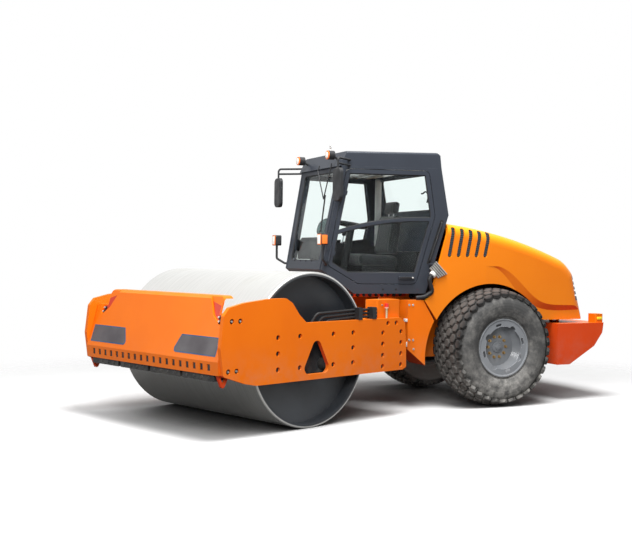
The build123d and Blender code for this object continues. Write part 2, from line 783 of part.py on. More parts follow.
def hood_block(inset):
    # Rounded hood form, drawn in by the inset all round
    slope = (hood_rear_top[0] - hood_rear_foot[0]) / (hood_rear_top[1] - hood_rear_foot[1])
    back = inset * sqrt(1 + slope**2)
    foot = (hood_rear_foot[0] + back, hood_rear_foot[1])
    rear_top = (hood_rear_top[0] + back, hood_rear_top[1])
    crown_front = (hood_block_front, hood_crown - inset)
    crown_rear = (hood_crown_rear[0] + back, hood_crown_rear[1] - inset)
    shoulder_z = hood_rear_foot[1] + 60
    with BuildPart() as block:
        with BuildSketch(side_plane(hood_half - inset)) as profile:
            with BuildLine():
                Polyline(crown_rear, rear_top, foot, (foot[0] + 35, hood_bottom - inset),
                         (hood_block_front, hood_bottom - inset), crown_front)
                ThreePointArc(crown_front, (hood_crown_mid[0], hood_crown_mid[1] - inset), crown_rear)
            make_face()
            fillet(profile.vertices().sort_by_distance(crown_rear)[:1], 2 * hood_rear_round - inset)
            fillet(profile.vertices().sort_by_distance(rear_top)[:1], hood_rear_round - inset)
        extrude(amount=2 * (hood_half - inset))
        side_edges = block.faces().filter_by(Axis.Y).edges()
        shoulder_x = hood_block_front - 10
        fillet(side_edges.filter_by(lambda e: e.center().Z > shoulder_z and e.center().X < shoulder_x),
               hood_shoulder - inset)
    return block.part


# Set-back lower flank: it fades in behind the arch and is bounded above by a curved sloping band
flank_start = (-1480, 1660)
flank_end = (-3060, 1138)
flank_full_x = -1980
flank_foot_z = 880
band_upper = [flank_start, (-1780, 1615), (-2024, 1428), (-2293, 1230), (-2600, 1186), flank_end]
band_lower = [flank_start, (-1670, 1552), (-1900, 1385), (-2200, 1180), (-2560, 1118), flank_end]


def flank_face(points, depth):
    # Area below a band edge, at a depth inside the hood's side
    with BuildSketch(side_plane(hood_half - depth)) as face:
        with BuildLine():
            Spline(*points)
            Polyline(points[-1], (points[-1][0], flank_foot_z), (points[0][0], flank_foot_z), points[0])
        make_face()
    return face.sketch


with BuildPart() as flank_left:
    loft([flank_face(band_upper, 0), flank_face(band_lower, recess_depth)], ruled=True)
    with BuildSketch(Plane.XY.offset(flank_foot_z)):
        with BuildLine():
            Polyline((flank_start[0], hood_half), (flank_full_x, hood_half - recess_depth),
                     (flank_end[0] - 10, hood_half - recess_depth), (flank_end[0] - 10, hood_half),
                     close=True)
        make_face()
    extrude(amount=flank_start[1] - flank_foot_z, mode=Mode.INTERSECT)

hood_outer = hood_block(0)
hood_inner = hood_block(hood_wall)
seam_top = (deck_rear, fender_top - 8)
arch_foot_z = 1030
with BuildPart() as hood_shell:
    add(hood_outer)
    add(hood_inner, mode=Mode.SUBTRACT)
    add(both_sides(flank_left.part), mode=Mode.SUBTRACT)
    with BuildSketch(side_plane(hood_half + 10)):
        with BuildLine():
            Polyline((-400, 3000), (-400, 900), (-1500, 900), (arch_front_x, arch_foot_z), seam_top,
                     (cab_back_x(1310) - hood_face_gap, 1310), (cab_back_x(2200) - hood_face_gap, 2200),
                     (cab_back_x(2200) - hood_face_gap, 3000), close=True)
        make_face()
    extrude(amount=2 * hood_half + 20, mode=Mode.SUBTRACT)
    with BuildSketch(side_plane(hood_half + 10)):
        with BuildLine():
            ThreePointArc((arch_front_x, arch_foot_z), ((arch_front_x + arch_rear_x) / 2, arch_top),
                          (arch_rear_x, hood_bottom))
            Polyline((arch_rear_x, hood_bottom), (arch_rear_x, flank_foot_z), (arch_front_x, flank_foot_z),
                     (arch_front_x, arch_foot_z))
        make_face()
    extrude(amount=2 * hood_half + 20, mode=Mode.SUBTRACT)

grille_lean = 0.16
grille_edge_x = -2779


def grille_band(gap):
    # Wedge that holds the wrap-round rear grille, drawn in by the gap
    with BuildPart() as band:
        with BuildSketch(side_plane(hood_half + 50)):
            with BuildLine():
                edge_x = grille_edge_x - gap
                Polyline((edge_x, grille_top - gap),
                         (edge_x - grille_lean * (grille_top - grille_bottom), grille_bottom + gap),
                         (hood_rear_foot[0] - 200, grille_bottom + gap),
                         (hood_rear_foot[0] - 200, grille_top - gap), close=True)
            make_face()
        extrude(amount=2 * hood_half + 100)
    return band.part


louvre_front_x = -936
louvre_foot_z = 1767
louvre_head_z = 2118
louvre_fall = 12
louvre_lean = -66
louvre_corner = 22
screen_thickness = 15
screen_margin = 36
with BuildPart() as hood:
    add(hood_shell.part)
    add(grille_band(0), mode=Mode.SUBTRACT)
    for index in range(louvre_count):
        foot_x = louvre_front_x - louvre_pitch * index
        head_z = louvre_head_z - louvre_fall * index
        for y in (hood_half + 20, 125 - hood_half):
            with BuildSketch(side_plane(y)) as slot:
                with BuildLine():
                    Polyline((foot_x, louvre_foot_z), (foot_x - louvre_width, louvre_foot_z),
                             (foot_x - louvre_width + louvre_lean, head_z), (foot_x + louvre_lean, head_z),
                             close=True)
                make_face()
                fillet(slot.vertices(), louvre_corner)
            extrude(amount=145, mode=Mode.SUBTRACT)
    for side in (-1, 1):
        knuckle_y = side * hood_hinge_y + hood_knuckle_length / 2
        with BuildSketch(side_plane(knuckle_y)):
            with Locations((hood_hinge_x, hood_hinge_z)):
                Circle(hood_knuckle_radius)
            with Locations((hood_hinge_x - hood_knuckle_radius / 2, hood_hinge_z + 2 * hood_knuckle_radius)):
                Rectangle(hood_knuckle_radius, 4 * hood_knuckle_radius)
            with Locations((hood_hinge_x, hood_hinge_z)):
                Circle(hood_pin_radius + running_gap, mode=Mode.SUBTRACT)
        extrude(amount=hood_knuckle_length)
pieces["hood"] = (hood.part, "rear")

screen_rear_x = louvre_front_x - louvre_pitch * louvre_count
with BuildPart() as louvre_screen:
    with BuildSketch(side_plane(hood_half - hood_wall)):
        with BuildLine():
            Polyline((louvre_front_x + screen_margin, louvre_foot_z - screen_margin),
                     (screen_rear_x, louvre_foot_z - screen_margin),
                     (screen_rear_x + louvre_lean / 2, louvre_head_z - 225),
                     (louvre_front_x + louvre_lean / 2, louvre_head_z - 105), close=True)
        make_face()
    extrude(amount=screen_thickness)
pieces["hood_louvres"] = (both_sides(louvre_screen.part), "rear")

bar_pitch = (grille_top - grille_bottom) / grille_bars
groove_levels = [grille_bottom + bar_pitch * (index + 1) for index in range(grille_bars - 1)]
with BuildPart() as groove_skin:
    with Locations([(hood_rear_foot[0], 0, z) for z in groove_levels]):
        Box(1200, 2 * hood_half + 100, groove_height)
    add(hood_block(groove_depth), mode=Mode.SUBTRACT)
with BuildPart() as rear_grille:
    add(hood_shell.part)
    add(grille_band(running_gap), mode=Mode.INTERSECT)
    add(groove_skin.part, mode=Mode.SUBTRACT)
pieces["rear_grille"] = (rear_grille.part, "rear")

# Fender boxes ahead of the wheels
fender_tip = (arch_front_x + 2 * panel_gap, arch_foot_z - panel_gap)
fender_heel = (-660, fender_bottom)
with BuildPart() as fender:
    with BuildSketch(side_plane(fender_outer_y)) as face:
        with BuildLine():
            Polyline(fender_tip, (seam_top[0] + panel_gap, seam_top[1]),
                     (seam_top[0] + panel_gap, fender_top), (fender_front, fender_top),
                     (fender_front, fender_bottom + 194), fender_heel)
            ThreePointArc(fender_heel, (fender_heel[0] - 16, fender_bottom + 260), fender_tip)
        make_face()
    extrude(amount=fender_outer_y - rail_y)
pieces["fender_left"] = (fender.part, "rear")
pieces["fender_right"] = (turned_right(fender.part), "rear")

# Cab: tapered in plan, wider at the back
side_dir = (cos(cab_taper), -sin(cab_taper), 0)
side_in = (-sin(cab_taper), -cos(cab_taper), 0)
cab_side = Plane(origin=(cab_front_x, cab_front_half, 0), x_dir=side_dir, z_dir=side_in)
back_waist = (cab_back_x(waist_z), waist_z)
back_top = (back_waist[0] + upper_back_lean * (cab_eave - waist_z), cab_eave)
floor_front = 146


def front_x(z):
    return front_foot_x - front_lean * (z - front_foot_z)


def on_side(x, z):
    # A place on the cab side, from its length along the machine and its height
    return ((x - cab_front_x) / cos(cab_taper), z)


def cab_half(x, inset):
    return cab_front_half + (cab_front_x - x) * tan(cab_taper) - inset / cos(cab_taper)


def cab_prism(inset):
    # Upright tapered block between the cab sides, drawn in by the inset
    with BuildPart() as prism:
        with BuildSketch(Plane.XY.offset(cab_floor_z - 100)):
            with BuildLine():
                Polyline((700, cab_half(700, inset)), (-1100, cab_half(-1100, inset)),
                         (-1100, -cab_half(-1100, inset)), (700, -cab_half(700, inset)), close=True)
            make_face()
        extrude(amount=cab_crown + 200)
    return prism.part


def side_face(points, radius, grow):
    # Rounded flat face in the measures of the cab side, grown outwards by a gap
    with BuildSketch() as face:
        with BuildLine():
            Polyline(*[on_side(x, z) for x, z in points], close=True)
        make_face()
        fillet(face.vertices(), radius)
        if grow:
            offset(amount=grow, mode=Mode.REPLACE)
    return face.sketch


def on_cab_side(face, depth=0):
    # Set a flat face on the left cab side, or a depth inside it
    return cab_side.offset(depth) * face


cab_outline = [(front_x(footwell_toe_z), footwell_toe_z), (front_x(cab_eave), cab_eave), back_top, back_waist,
               cab_back_foot, (floor_front, cab_floor_z)]
door_points = [
    (front_x(door_foot_z) - pillar_width, door_foot_z), (front_x(door_head_z) - pillar_width, door_head_z),
    (back_top[0] + rear_pillar, door_head_z), (back_waist[0] + waist_pillar, waist_z - 14),
    (cab_back_x(door_sill_z) + rear_pillar, door_sill_z), (floor_front - 43, door_sill_z),
]
cabin_core = cab_prism(cab_wall)

with BuildPart() as cab_side_blank:
    with BuildSketch(cab_side):
        with BuildLine():
            Polyline(*[on_side(x, z) for x, z in cab_outline], close=True)
        make_face()
    extrude(amount=cab_wall)

# Door leaf lines: glass above and below the curved rail
rail_start = (front_x(rail_z), rail_z)
rail_mid = (-134, rail_z + 158)
rail_end = (-860, rail_z + 196)


def pane(low, grow):
    # Window pane of the door, below or above the curved rail
    direction = -1 if low else 1
    lift = direction * (rail_band / 2 - grow)
    limit = lower_glass_z - grow if low else cab_crown
    start, middle, end = [on_side(x, z + lift) for x, z in (rail_start, rail_mid, rail_end)]
    with BuildSketch() as face:
        add(side_face(door_points, door_corner, grow - door_rim))
        with BuildLine():
            ThreePointArc(start, middle, end)
            Polyline(end, (end[0], limit), (start[0], limit), start)
        make_face(mode=Mode.INTERSECT)
    return face.sketch


def hinge_end(z):
    # A place on the door's hinge line, which follows the front pillar
    return cab_side.from_local_coords((*on_side(front_x(z) - pillar_width, z), -hinge_stand_off))


hinge_low = hinge_end(door_foot_z)
hinge_high = hinge_end(door_head_z)
hinge_dir = (hinge_high - hinge_low).normalized()
hinge_shares = (0.12, 0.75)


def hinge_part(share, shift, leaf_reach):
    # Round knuckle on the door's hinge line with the flat leaf that carries it
    centre = hinge_low + (hinge_high - hinge_low) * share + hinge_dir * shift
    z = door_foot_z + (door_head_z - door_foot_z) * share + shift
    leaf = hinge_length / 2 - 5
    near = hinge_space / 2 if leaf_reach > 0 else -hinge_space / 2
    low_x = front_x(z - leaf) - pillar_width
    high_x = front_x(z + leaf) - pillar_width
    with BuildPart() as knuckle:
        with BuildSketch(Plane(origin=centre, z_dir=hinge_dir)):
            Circle(hinge_radius)
        extrude(amount=hinge_length / 2, both=True)
        with BuildSketch(cab_side):
            with BuildLine():
                Polyline(on_side(low_x - near, z - leaf), on_side(low_x - leaf_reach, z - leaf),
                         on_side(high_x - leaf_reach, z + leaf), on_side(high_x - near, z + leaf), close=True)
            make_face()
        extrude(amount=-hinge_leaf)
    return knuckle.part


hinge_step = hinge_length + hinge_space


def hinge_pin(share, radius):
    # Round pin on the door's hinge line, through all three knuckles
    centre = hinge_low + (hinge_high - hinge_low) * share
    with BuildPart() as pin:
        with BuildSketch(Plane(origin=centre, z_dir=hinge_dir)):
            Circle(radius)
        extrude(amount=hinge_step, both=True)
    return pin.part


pillar_steps = [(share, shift) for share in hinge_shares for shift in (-hinge_step, hinge_step)]
pillar_hinges = [hinge_part(share, shift, -45) for share, shift in pillar_steps]
door_hinges = [hinge_part(share, 0, 60) for share in hinge_shares]

with BuildPart() as cab_side_left:
    add(cab_side_blank.part)
    extrude(on_cab_side(side_face(door_points, door_corner, door_gap)), amount=cab_wall, mode=Mode.SUBTRACT)
    add(pillar_hinges)
    add([hinge_pin(share, hinge_pin_radius) for share in hinge_shares])
pieces["cab_side_left"] = (cab_side_left.part, "rear")

with BuildPart() as door_frame:
    extrude(on_cab_side(side_face(door_points, door_corner, 0)), amount=door_thickness)
    extrude(on_cab_side(pane(True, 0)), amount=door_thickness, mode=Mode.SUBTRACT)
    extrude(on_cab_side(pane(False, 0)), amount=door_thickness, mode=Mode.SUBTRACT)
    add(door_hinges)
    add([hinge_pin(share, hinge_pin_radius + running_gap) for share in hinge_shares], mode=Mode.SUBTRACT)
    with BuildSketch(cab_side):
        with Locations(on_side(-459, 1519)):
            RectangleRounded(190, 34, 12)
    extrude(amount=-36)
pieces["door_frame"] = (door_frame.part, "rear")

glass_depth = (door_thickness - glass_thickness) / 2
with BuildPart() as door_glass:
    for low in (True, False):
        extrude(on_cab_side(pane(low, -running_gap), glass_depth), amount=glass_thickness)
pieces["door_glass"] = (door_glass.part, "rear")

with BuildPart() as right_blank:
    add(cab_side_blank.part)
    extrude(on_cab_side(side_face(door_points, door_corner, -door_rim)), amount=cab_wall, mode=Mode.SUBTRACT)
pieces["cab_side_right"] = (turned_right(right_blank.part), "rear")

with BuildPart() as right_pane:
    extrude(on_cab_side(side_face(door_points, door_corner, -door_rim - running_gap), glass_depth),
            amount=glass_thickness)
pieces["right_glass"] = (turned_right(right_pane.part), "rear")

# Cab floor with its rising footwell
floor_outline = [
    cab_back_foot, (floor_front, cab_floor_z), (front_x(footwell_toe_z), footwell_toe_z),
    (front_x(footwell_toe_z + floor_thickness + 20), footwell_toe_z + floor_thickness + 20),
    (floor_front - 40, cab_floor_z + floor_thickness),
    (cab_back_x(cab_floor_z + floor_thickness), cab_floor_z + floor_thickness),
]
with BuildPart() as cab_floor:
    with BuildSketch(side_plane(1000)):
        with BuildLine():
            Polyline(*floor_outline, close=True)
        make_face()
    extrude(amount=2000)
    add(cabin_core, mode=Mode.INTERSECT)
pieces["cab_floor"] = (cab_floor.part, "rear")

# Front frame of the cab with the windscreen opening
front_dir = Vector(-front_lean, 0, 1).normalized()
front_out = Vector(1, 0, front_lean).normalized()
screen_plane = Plane(origin=(front_foot_x, 0, front_foot_z), x_dir=(0, 1, 0), z_dir=front_out)
sill_z = footwell_toe_z + floor_thickness + 20
screen_height = (cab_eave - front_foot_z) / front_dir.Z
screen_foot = 70
screen_head = screen_height - 55


def screen_face(gap):
    # Windscreen outline in the leaning front plane, drawn in by the gap
    with BuildSketch(screen_plane) as face:
        with BuildLine():
            low = cab_half(front_x(front_foot_z + screen_foot), cab_wall) - 62 - gap
            high = cab_half(front_x(cab_eave), cab_wall) - 62 - gap
            Polyline((low, screen_foot + gap), (high, screen_head - gap), (-high, screen_head - gap),
                     (-low, screen_foot + gap), close=True)
        make_face()
        fillet(face.vertices(), 50)
    return face.sketch


with BuildPart() as cab_front:
    with BuildSketch(side_plane(1000)):
        with BuildLine():
            Polyline((front_x(sill_z), sill_z), (front_x(cab_eave), cab_eave),
                     (front_x(cab_eave) - cab_wall, cab_eave), (front_x(sill_z) - cab_wall, sill_z),
                     close=True)
        make_face()
    extrude(amount=2000)
    add(cabin_core, mode=Mode.INTERSECT)
    extrude(screen_face(0), amount=2 * cab_wall, both=True, mode=Mode.SUBTRACT)
pieces["cab_front"] = (cab_front.part, "rear")

with BuildPart() as windscreen:
    extrude(screen_face(running_gap).moved(Location(front_out * -24)), amount=glass_thickness)
pieces["windscreen"] = (windscreen.part, "rear")

# Rear wall of the cab with its window
wall_low = cab_floor_z + floor_thickness
back_dir = Vector(back_top[0] - back_waist[0], 0, back_top[1] - back_waist[1]).normalized()
back_out = Vector(-back_dir.Z, 0, back_dir.X)
back_plane = Plane(origin=(back_waist[0], 0, back_waist[1]), x_dir=(0, 1, 0), z_dir=back_out)
rear_window_width = 1240
rear_sill = 70
rear_head = (cab_eave - waist_z) / back_dir.Z - 49


def rear_pane(gap):
    # Rear window between the waist and the eave, drawn in by the gap
    with BuildSketch(back_plane) as face:
        with Locations((0, -(rear_sill + rear_head) / 2)):
            RectangleRounded(rear_window_width - 2 * gap, rear_head - rear_sill - 2 * gap, door_corner)
    return face.sketch


with BuildPart() as cab_rear:
    with BuildSketch(side_plane(1000)):
        with BuildLine():
            Polyline((cab_back_x(wall_low), wall_low), back_waist, back_top,
                     (back_top[0] + cab_wall, cab_eave), (back_waist[0] + cab_wall, back_waist[1]),
                     (cab_back_x(wall_low) + cab_wall, wall_low), close=True)
        make_face()
    extrude(amount=2000)
    add(cabin_core, mode=Mode.INTERSECT)
    extrude(rear_pane(0), amount=2 * cab_wall, both=True, mode=Mode.SUBTRACT)
pieces["cab_rear"] = (cab_rear.part, "rear")

with BuildPart() as rear_glass:
    extrude(rear_pane(running_gap).moved(Location(back_out * -26)), amount=glass_thickness)
pieces["rear_glass"] = (rear_glass.part, "rear")

# Roof with a sloped visor
with BuildPart() as cab_roof:
    with BuildSketch(side_plane(1000)):
        with BuildLine():
            Polyline((front_x(cab_eave) + visor_reach, cab_eave), (front_x(cab_eave) - 60, cab_crown - 12),
                     (back_top[0] + 51, cab_crown), (back_top[0] + 16, cab_crown - 35), back_top, close=True)
        make_face()
    extrude(amount=2000)
    add(cab_prism(0), mode=Mode.INTERSECT)
    high_edges = cab_roof.edges().filter_by(lambda e: e.center().Z > cab_crown - 15)
    fillet(high_edges.filter_by(lambda e: abs(e.center().Y) > cab_front_half / 2), 30)
pieces["cab_roof"] = (cab_roof.part, "rear")

# Mirrors on bent arms, roof lamps and signal lamps
mirror_x = 500
mirror_y = 880
mirror_z = cab_eave - 240
mirror_width = 190
mirror_height = 370
mirror_depth = 46
mirror_corner = 60
mirror_arm_radius = 12
mirror_arm_space = 62
side_out = Vector(sin(cab_taper), cos(cab_taper), 0)
arm_foot_x = 235
arm_foot = Vector(arm_foot_x, cab_half(arm_foot_x, 0), cab_eave + 60)
arm_top_z = cab_eave + 60
with BuildPart() as mirror_left:
    with BuildSketch(Plane.YZ.offset(mirror_x - mirror_depth / 2)):
        with Locations((mirror_y, mirror_z)):
            RectangleRounded(mirror_width, mirror_height, mirror_corner)
    extrude(amount=mirror_depth)
    fillet(mirror_left.faces().sort_by(Axis.X)[-1].edges(), 14)
    head_end = Vector(mirror_x, mirror_y, mirror_z + mirror_height / 2 - mirror_corner / 2)
    upper_elbow = Vector(mirror_x, mirror_y, arm_top_z)
    lower_elbow = upper_elbow - Vector(0, 0, mirror_arm_space)
    lower_foot = arm_foot - Vector(0, 0, mirror_arm_space)
    for foot, ends in ((arm_foot, (upper_elbow, head_end)), (lower_foot, (lower_elbow,))):
        with BuildLine() as arm_route:
            FilletPolyline(foot, foot + side_out * 90, *ends, radius=35)
        with BuildSketch(Plane(origin=foot, z_dir=side_out)):
            Circle(mirror_arm_radius)
        sweep(path=arm_route.line)
pieces["mirrors"] = (both_sides(mirror_left.part), "rear")

visor_foot = Vector(front_x(cab_eave) + visor_reach, 0, cab_eave)
visor_head = Vector(front_x(cab_eave) - 60, 0, cab_crown - 12)
visor_rise = (visor_head - visor_foot).normalized()
visor_out = Vector(visor_rise.Z, 0, -visor_rise.X)
visor_plane = Plane(origin=visor_foot, x_dir=(0, 1, 0), z_dir=visor_out)
lamp_rise = 100
lamp_stalk = 90
lamp_centre = visor_foot + visor_rise * lamp_rise + visor_out * lamp_stalk
lamp_back = Plane(origin=lamp_centre - Vector(25, 0, 0), x_dir=(0, 1, 0), z_dir=(1, 0, 0))
with BuildPart() as roof_lamps:
    with BuildSketch(visor_plane):
        with Locations((-430, lamp_rise), (430, lamp_rise)):
            Circle(14)
    extrude(amount=lamp_stalk)
    with BuildSketch(lamp_back):
        with Locations((-430, 0), (430, 0)):
            Circle(52)
    extrude(amount=75)
pieces["roof_lamps"] = (roof_lamps.part, "rear")

signal_x = 590
signal_y = 690
signal_z = front_foot_z + 310
bracket_z = front_foot_z + 25
bracket_x = front_x(bracket_z) - pillar_width / 2
bracket_foot = Vector(bracket_x, cab_half(bracket_x, 0), bracket_z)
with BuildPart() as signal_lamp:
    with BuildSketch(Plane.YZ.offset(signal_x - 40)):
        with Locations((signal_y, signal_z)):
            RectangleRounded(110, 130, 22)
    extrude(amount=80)
    with BuildLine() as bracket_route:
        FilletPolyline(bracket_foot, bracket_foot + side_out * 80, (signal_x, signal_y, bracket_z + 60),
                       (signal_x, signal_y, signal_z), radius=30)
    with BuildSketch(Plane(origin=bracket_foot, z_dir=side_out)):
        Circle(14)
    sweep(path=bracket_route.line)
pieces["signal_lamps"] = (both_sides(signal_lamp.part), "rear")

# Operator's place
seat_x = -380
floor_top = cab_floor_z + floor_thickness
seat_rise = 260
base_length = 460
base_width = 420
with BuildPart() as seat_base:
    with Locations((seat_x, 0, floor_top + seat_rise / 2)):
        Box(base_length, base_width, seat_rise)
pieces["seat_base"] = (seat_base.part, "rear")

seat_half = 260
seat_cushion = 120
back_height = 0.43 * cab_height
back_shift = 0.16 * back_height
headrest_half = 140
with BuildPart() as seat:
    seat_low = floor_top + seat_rise
    seat_high = seat_low + seat_cushion
    with BuildSketch(side_plane(seat_half)) as cushion:
        with BuildLine():
            Polyline((seat_x + 280, seat_low), (seat_x + 290, seat_high), (seat_x - 150, seat_high - 20),
                     (seat_x - 150 - back_shift, seat_high + back_height),
                     (seat_x - 250 - back_shift, seat_high + back_height), (seat_x - 260, seat_low),
                     close=True)
        make_face()
        fillet(cushion.vertices().group_by(Axis.Y)[-1], 40)
    extrude(amount=2 * seat_half)
    head_x = seat_x - 200 - back_shift
    with BuildSketch(Plane.YZ.offset(head_x - 40)):
        with Locations((0, seat_high + back_height + 70)):
            RectangleRounded(2 * headrest_half, 180, 60)
    extrude(amount=80)
pieces["operator_seat"] = (seat.part, "rear")

column_x = 20
column_height = 740
column_lean = 130
column_radius = 45
plinth_length = 160
plinth_width = 150
plinth_height = 120
wheel_radius = 200
wheel_grip = 28
spoke_width = 40
with BuildPart() as steering_column:
    column_head = (column_x - column_lean, 0, floor_top + column_height)
    with BuildSketch(Plane.XY.offset(floor_top)):
        with Locations((column_x, 0)):
            Rectangle(plinth_length, plinth_width)
    extrude(amount=plinth_height)
    with BuildLine() as column_line:
        Line((column_x, 0, floor_top + plinth_height / 2), column_head)
    with BuildSketch(Plane(origin=column_line.line @ 0, z_dir=column_line.line % 0)):
        Circle(column_radius)
    sweep(path=column_line.line)
    wheel_plane = Plane(origin=column_head, z_dir=column_line.line % 1)
    with BuildSketch(wheel_plane):
        Circle(wheel_radius)
        Circle(wheel_radius - wheel_grip, mode=Mode.SUBTRACT)
        with PolarLocations((wheel_radius - wheel_grip / 2) / 2, 3):
            Rectangle(wheel_radius - wheel_grip / 2, spoke_width)
        Circle(1.4 * column_radius)
    extrude(amount=wheel_grip)
pieces["steering_column"] = (steering_column.part, "rear")

console_length = 720
console_width = 200
console_height = 540
console_gap = 70
console_rear = seat_x - 240
with BuildPart() as side_console:
    with BuildSketch(side_plane(-seat_half - console_gap)):
        with BuildLine():
            Polyline((console_rear, floor_top), (console_rear + console_length - 60, floor_top),
                     (console_rear + console_length, floor_top + console_height - 140),
                     (console_rear + console_length - 160, floor_top + console_height),
                     (console_rear, floor_top + console_height - 40), close=True)
        make_face()
    extrude(amount=console_width)
pieces["side_console"] = (side_console.part, "rear")

# Parked pose: the front half turned about the pivot, the whole set over the middle of its own footprint
halves = {"front": Location((0, 0, 0), (0, 0, parked_steer)), "rear": Location((0, 0, 0))}
parked = {node: part.moved(halves[half]) for node, (part, half) in pieces.items()}
footprint = Compound(list(parked.values())).bounding_box()
centring = Location((-footprint.center().X, -footprint.center().Y, -footprint.min.Z))
for node, part in parked.items():
    placed = part.moved(centring)
    placed.label = node
    export_step(placed, f"parts/{node}.step")
print("pivot at", centring.position)
print("size", footprint.size)
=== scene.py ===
import json
from math import atan, atan2, cos, pi, radians, sin, tan

import bmesh
import bpy
from mathutils import Matrix, Vector


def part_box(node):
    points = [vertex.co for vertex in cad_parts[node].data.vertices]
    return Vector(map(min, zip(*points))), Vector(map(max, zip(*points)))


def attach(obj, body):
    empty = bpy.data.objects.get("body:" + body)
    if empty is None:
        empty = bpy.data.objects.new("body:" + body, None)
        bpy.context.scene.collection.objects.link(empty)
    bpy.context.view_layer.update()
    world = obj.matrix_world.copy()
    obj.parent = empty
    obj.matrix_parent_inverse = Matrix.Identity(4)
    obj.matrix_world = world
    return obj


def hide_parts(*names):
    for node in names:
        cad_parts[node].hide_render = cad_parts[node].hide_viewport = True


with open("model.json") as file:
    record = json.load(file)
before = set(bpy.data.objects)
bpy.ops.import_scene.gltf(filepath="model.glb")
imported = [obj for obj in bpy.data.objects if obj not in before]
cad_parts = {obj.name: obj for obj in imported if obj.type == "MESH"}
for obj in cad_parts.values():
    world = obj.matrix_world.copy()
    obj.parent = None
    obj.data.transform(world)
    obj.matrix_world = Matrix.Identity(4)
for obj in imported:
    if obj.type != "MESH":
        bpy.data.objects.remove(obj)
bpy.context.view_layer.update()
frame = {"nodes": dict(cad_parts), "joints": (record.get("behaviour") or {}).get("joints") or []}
scene = bpy.context.scene
nodes = frame["nodes"]
joints = {joint["name"]: joint for joint in frame["joints"]}
rearBody = "rear_frame_and_cab"
print("frame loaded:", len(nodes), "nodes")

up = Vector((0, 0, 1))
left = Vector((0, 1, 0))
forward = Vector((1, 0, 0))
pivot = Vector((*joints["steer"]["pos_m"][:2], 0))  # ground under the steering pivot
drumCentre = Vector(joints["drum_roll"]["pos_m"])
drumLeft = Vector(joints["drum_roll"]["axis"]).normalized()
drumForward = drumLeft.cross(up)
drumAngle = atan2(drumForward.y, drumForward.x)
drumTurn = Matrix.Rotation(drumAngle, 3, "Z")
cab = {"frontHalf": 0.53, "rearHalf": 0.83, "frontX": 0.56, "rearX": -0.83, "footX": 0.525, "footZ": 1.64,
       "lean": 0.19, "floorZ": 1.39}
cabTaper = atan((cab["rearHalf"] - cab["frontHalf"]) / (cab["frontX"] - cab["rearX"]))
sideOut = Vector((sin(cabTaper), cos(cabTaper), 0))  # away from the left cab side
sideForward = Vector((cos(cabTaper), -sin(cabTaper), 0))
sideTurn = Matrix((sideForward, sideOut, up)).transposed()
screenOut = Vector((1, 0, cab["lean"])).normalized()
beside, ahead = 1.5, 1.7  # how far out the lines start that look for a face
skinLift = 0.0003  # gap under a sheet that lies on a face


def rearPlace(x, y, z):  # forward of the pivot, to the left, above the ground
    return pivot + Vector((x, y, z))


def frontPlace(x, y, z):  # forward of the drum axle, to the left, above the ground
    return Vector((*drumCentre[:2], 0)) + drumForward * x + drumLeft * y + up * z


def cabPlace(x, z, out=0.0):  # on the left cab side, pushed out by a distance
    return rearPlace(x, cab["frontHalf"] + (cab["frontX"] - x) * tan(cabTaper), z) + sideOut * out


def screenPlace(y, z, out=0.0):  # on the leaning front of the cab
    return rearPlace(cab["footX"] - cab["lean"] * (z - cab["footZ"]), y, z) + screenOut * out


def seat(node, start, direction):  # where a line first meets a node, and which way the face there looks
    found, place, normal, _ = nodes[node].ray_cast(start, direction)
    if not found:
        raise ValueError(f"nothing of {node} lies along that line")
    return place, normal


# Node wiring and the effects that several finishes share

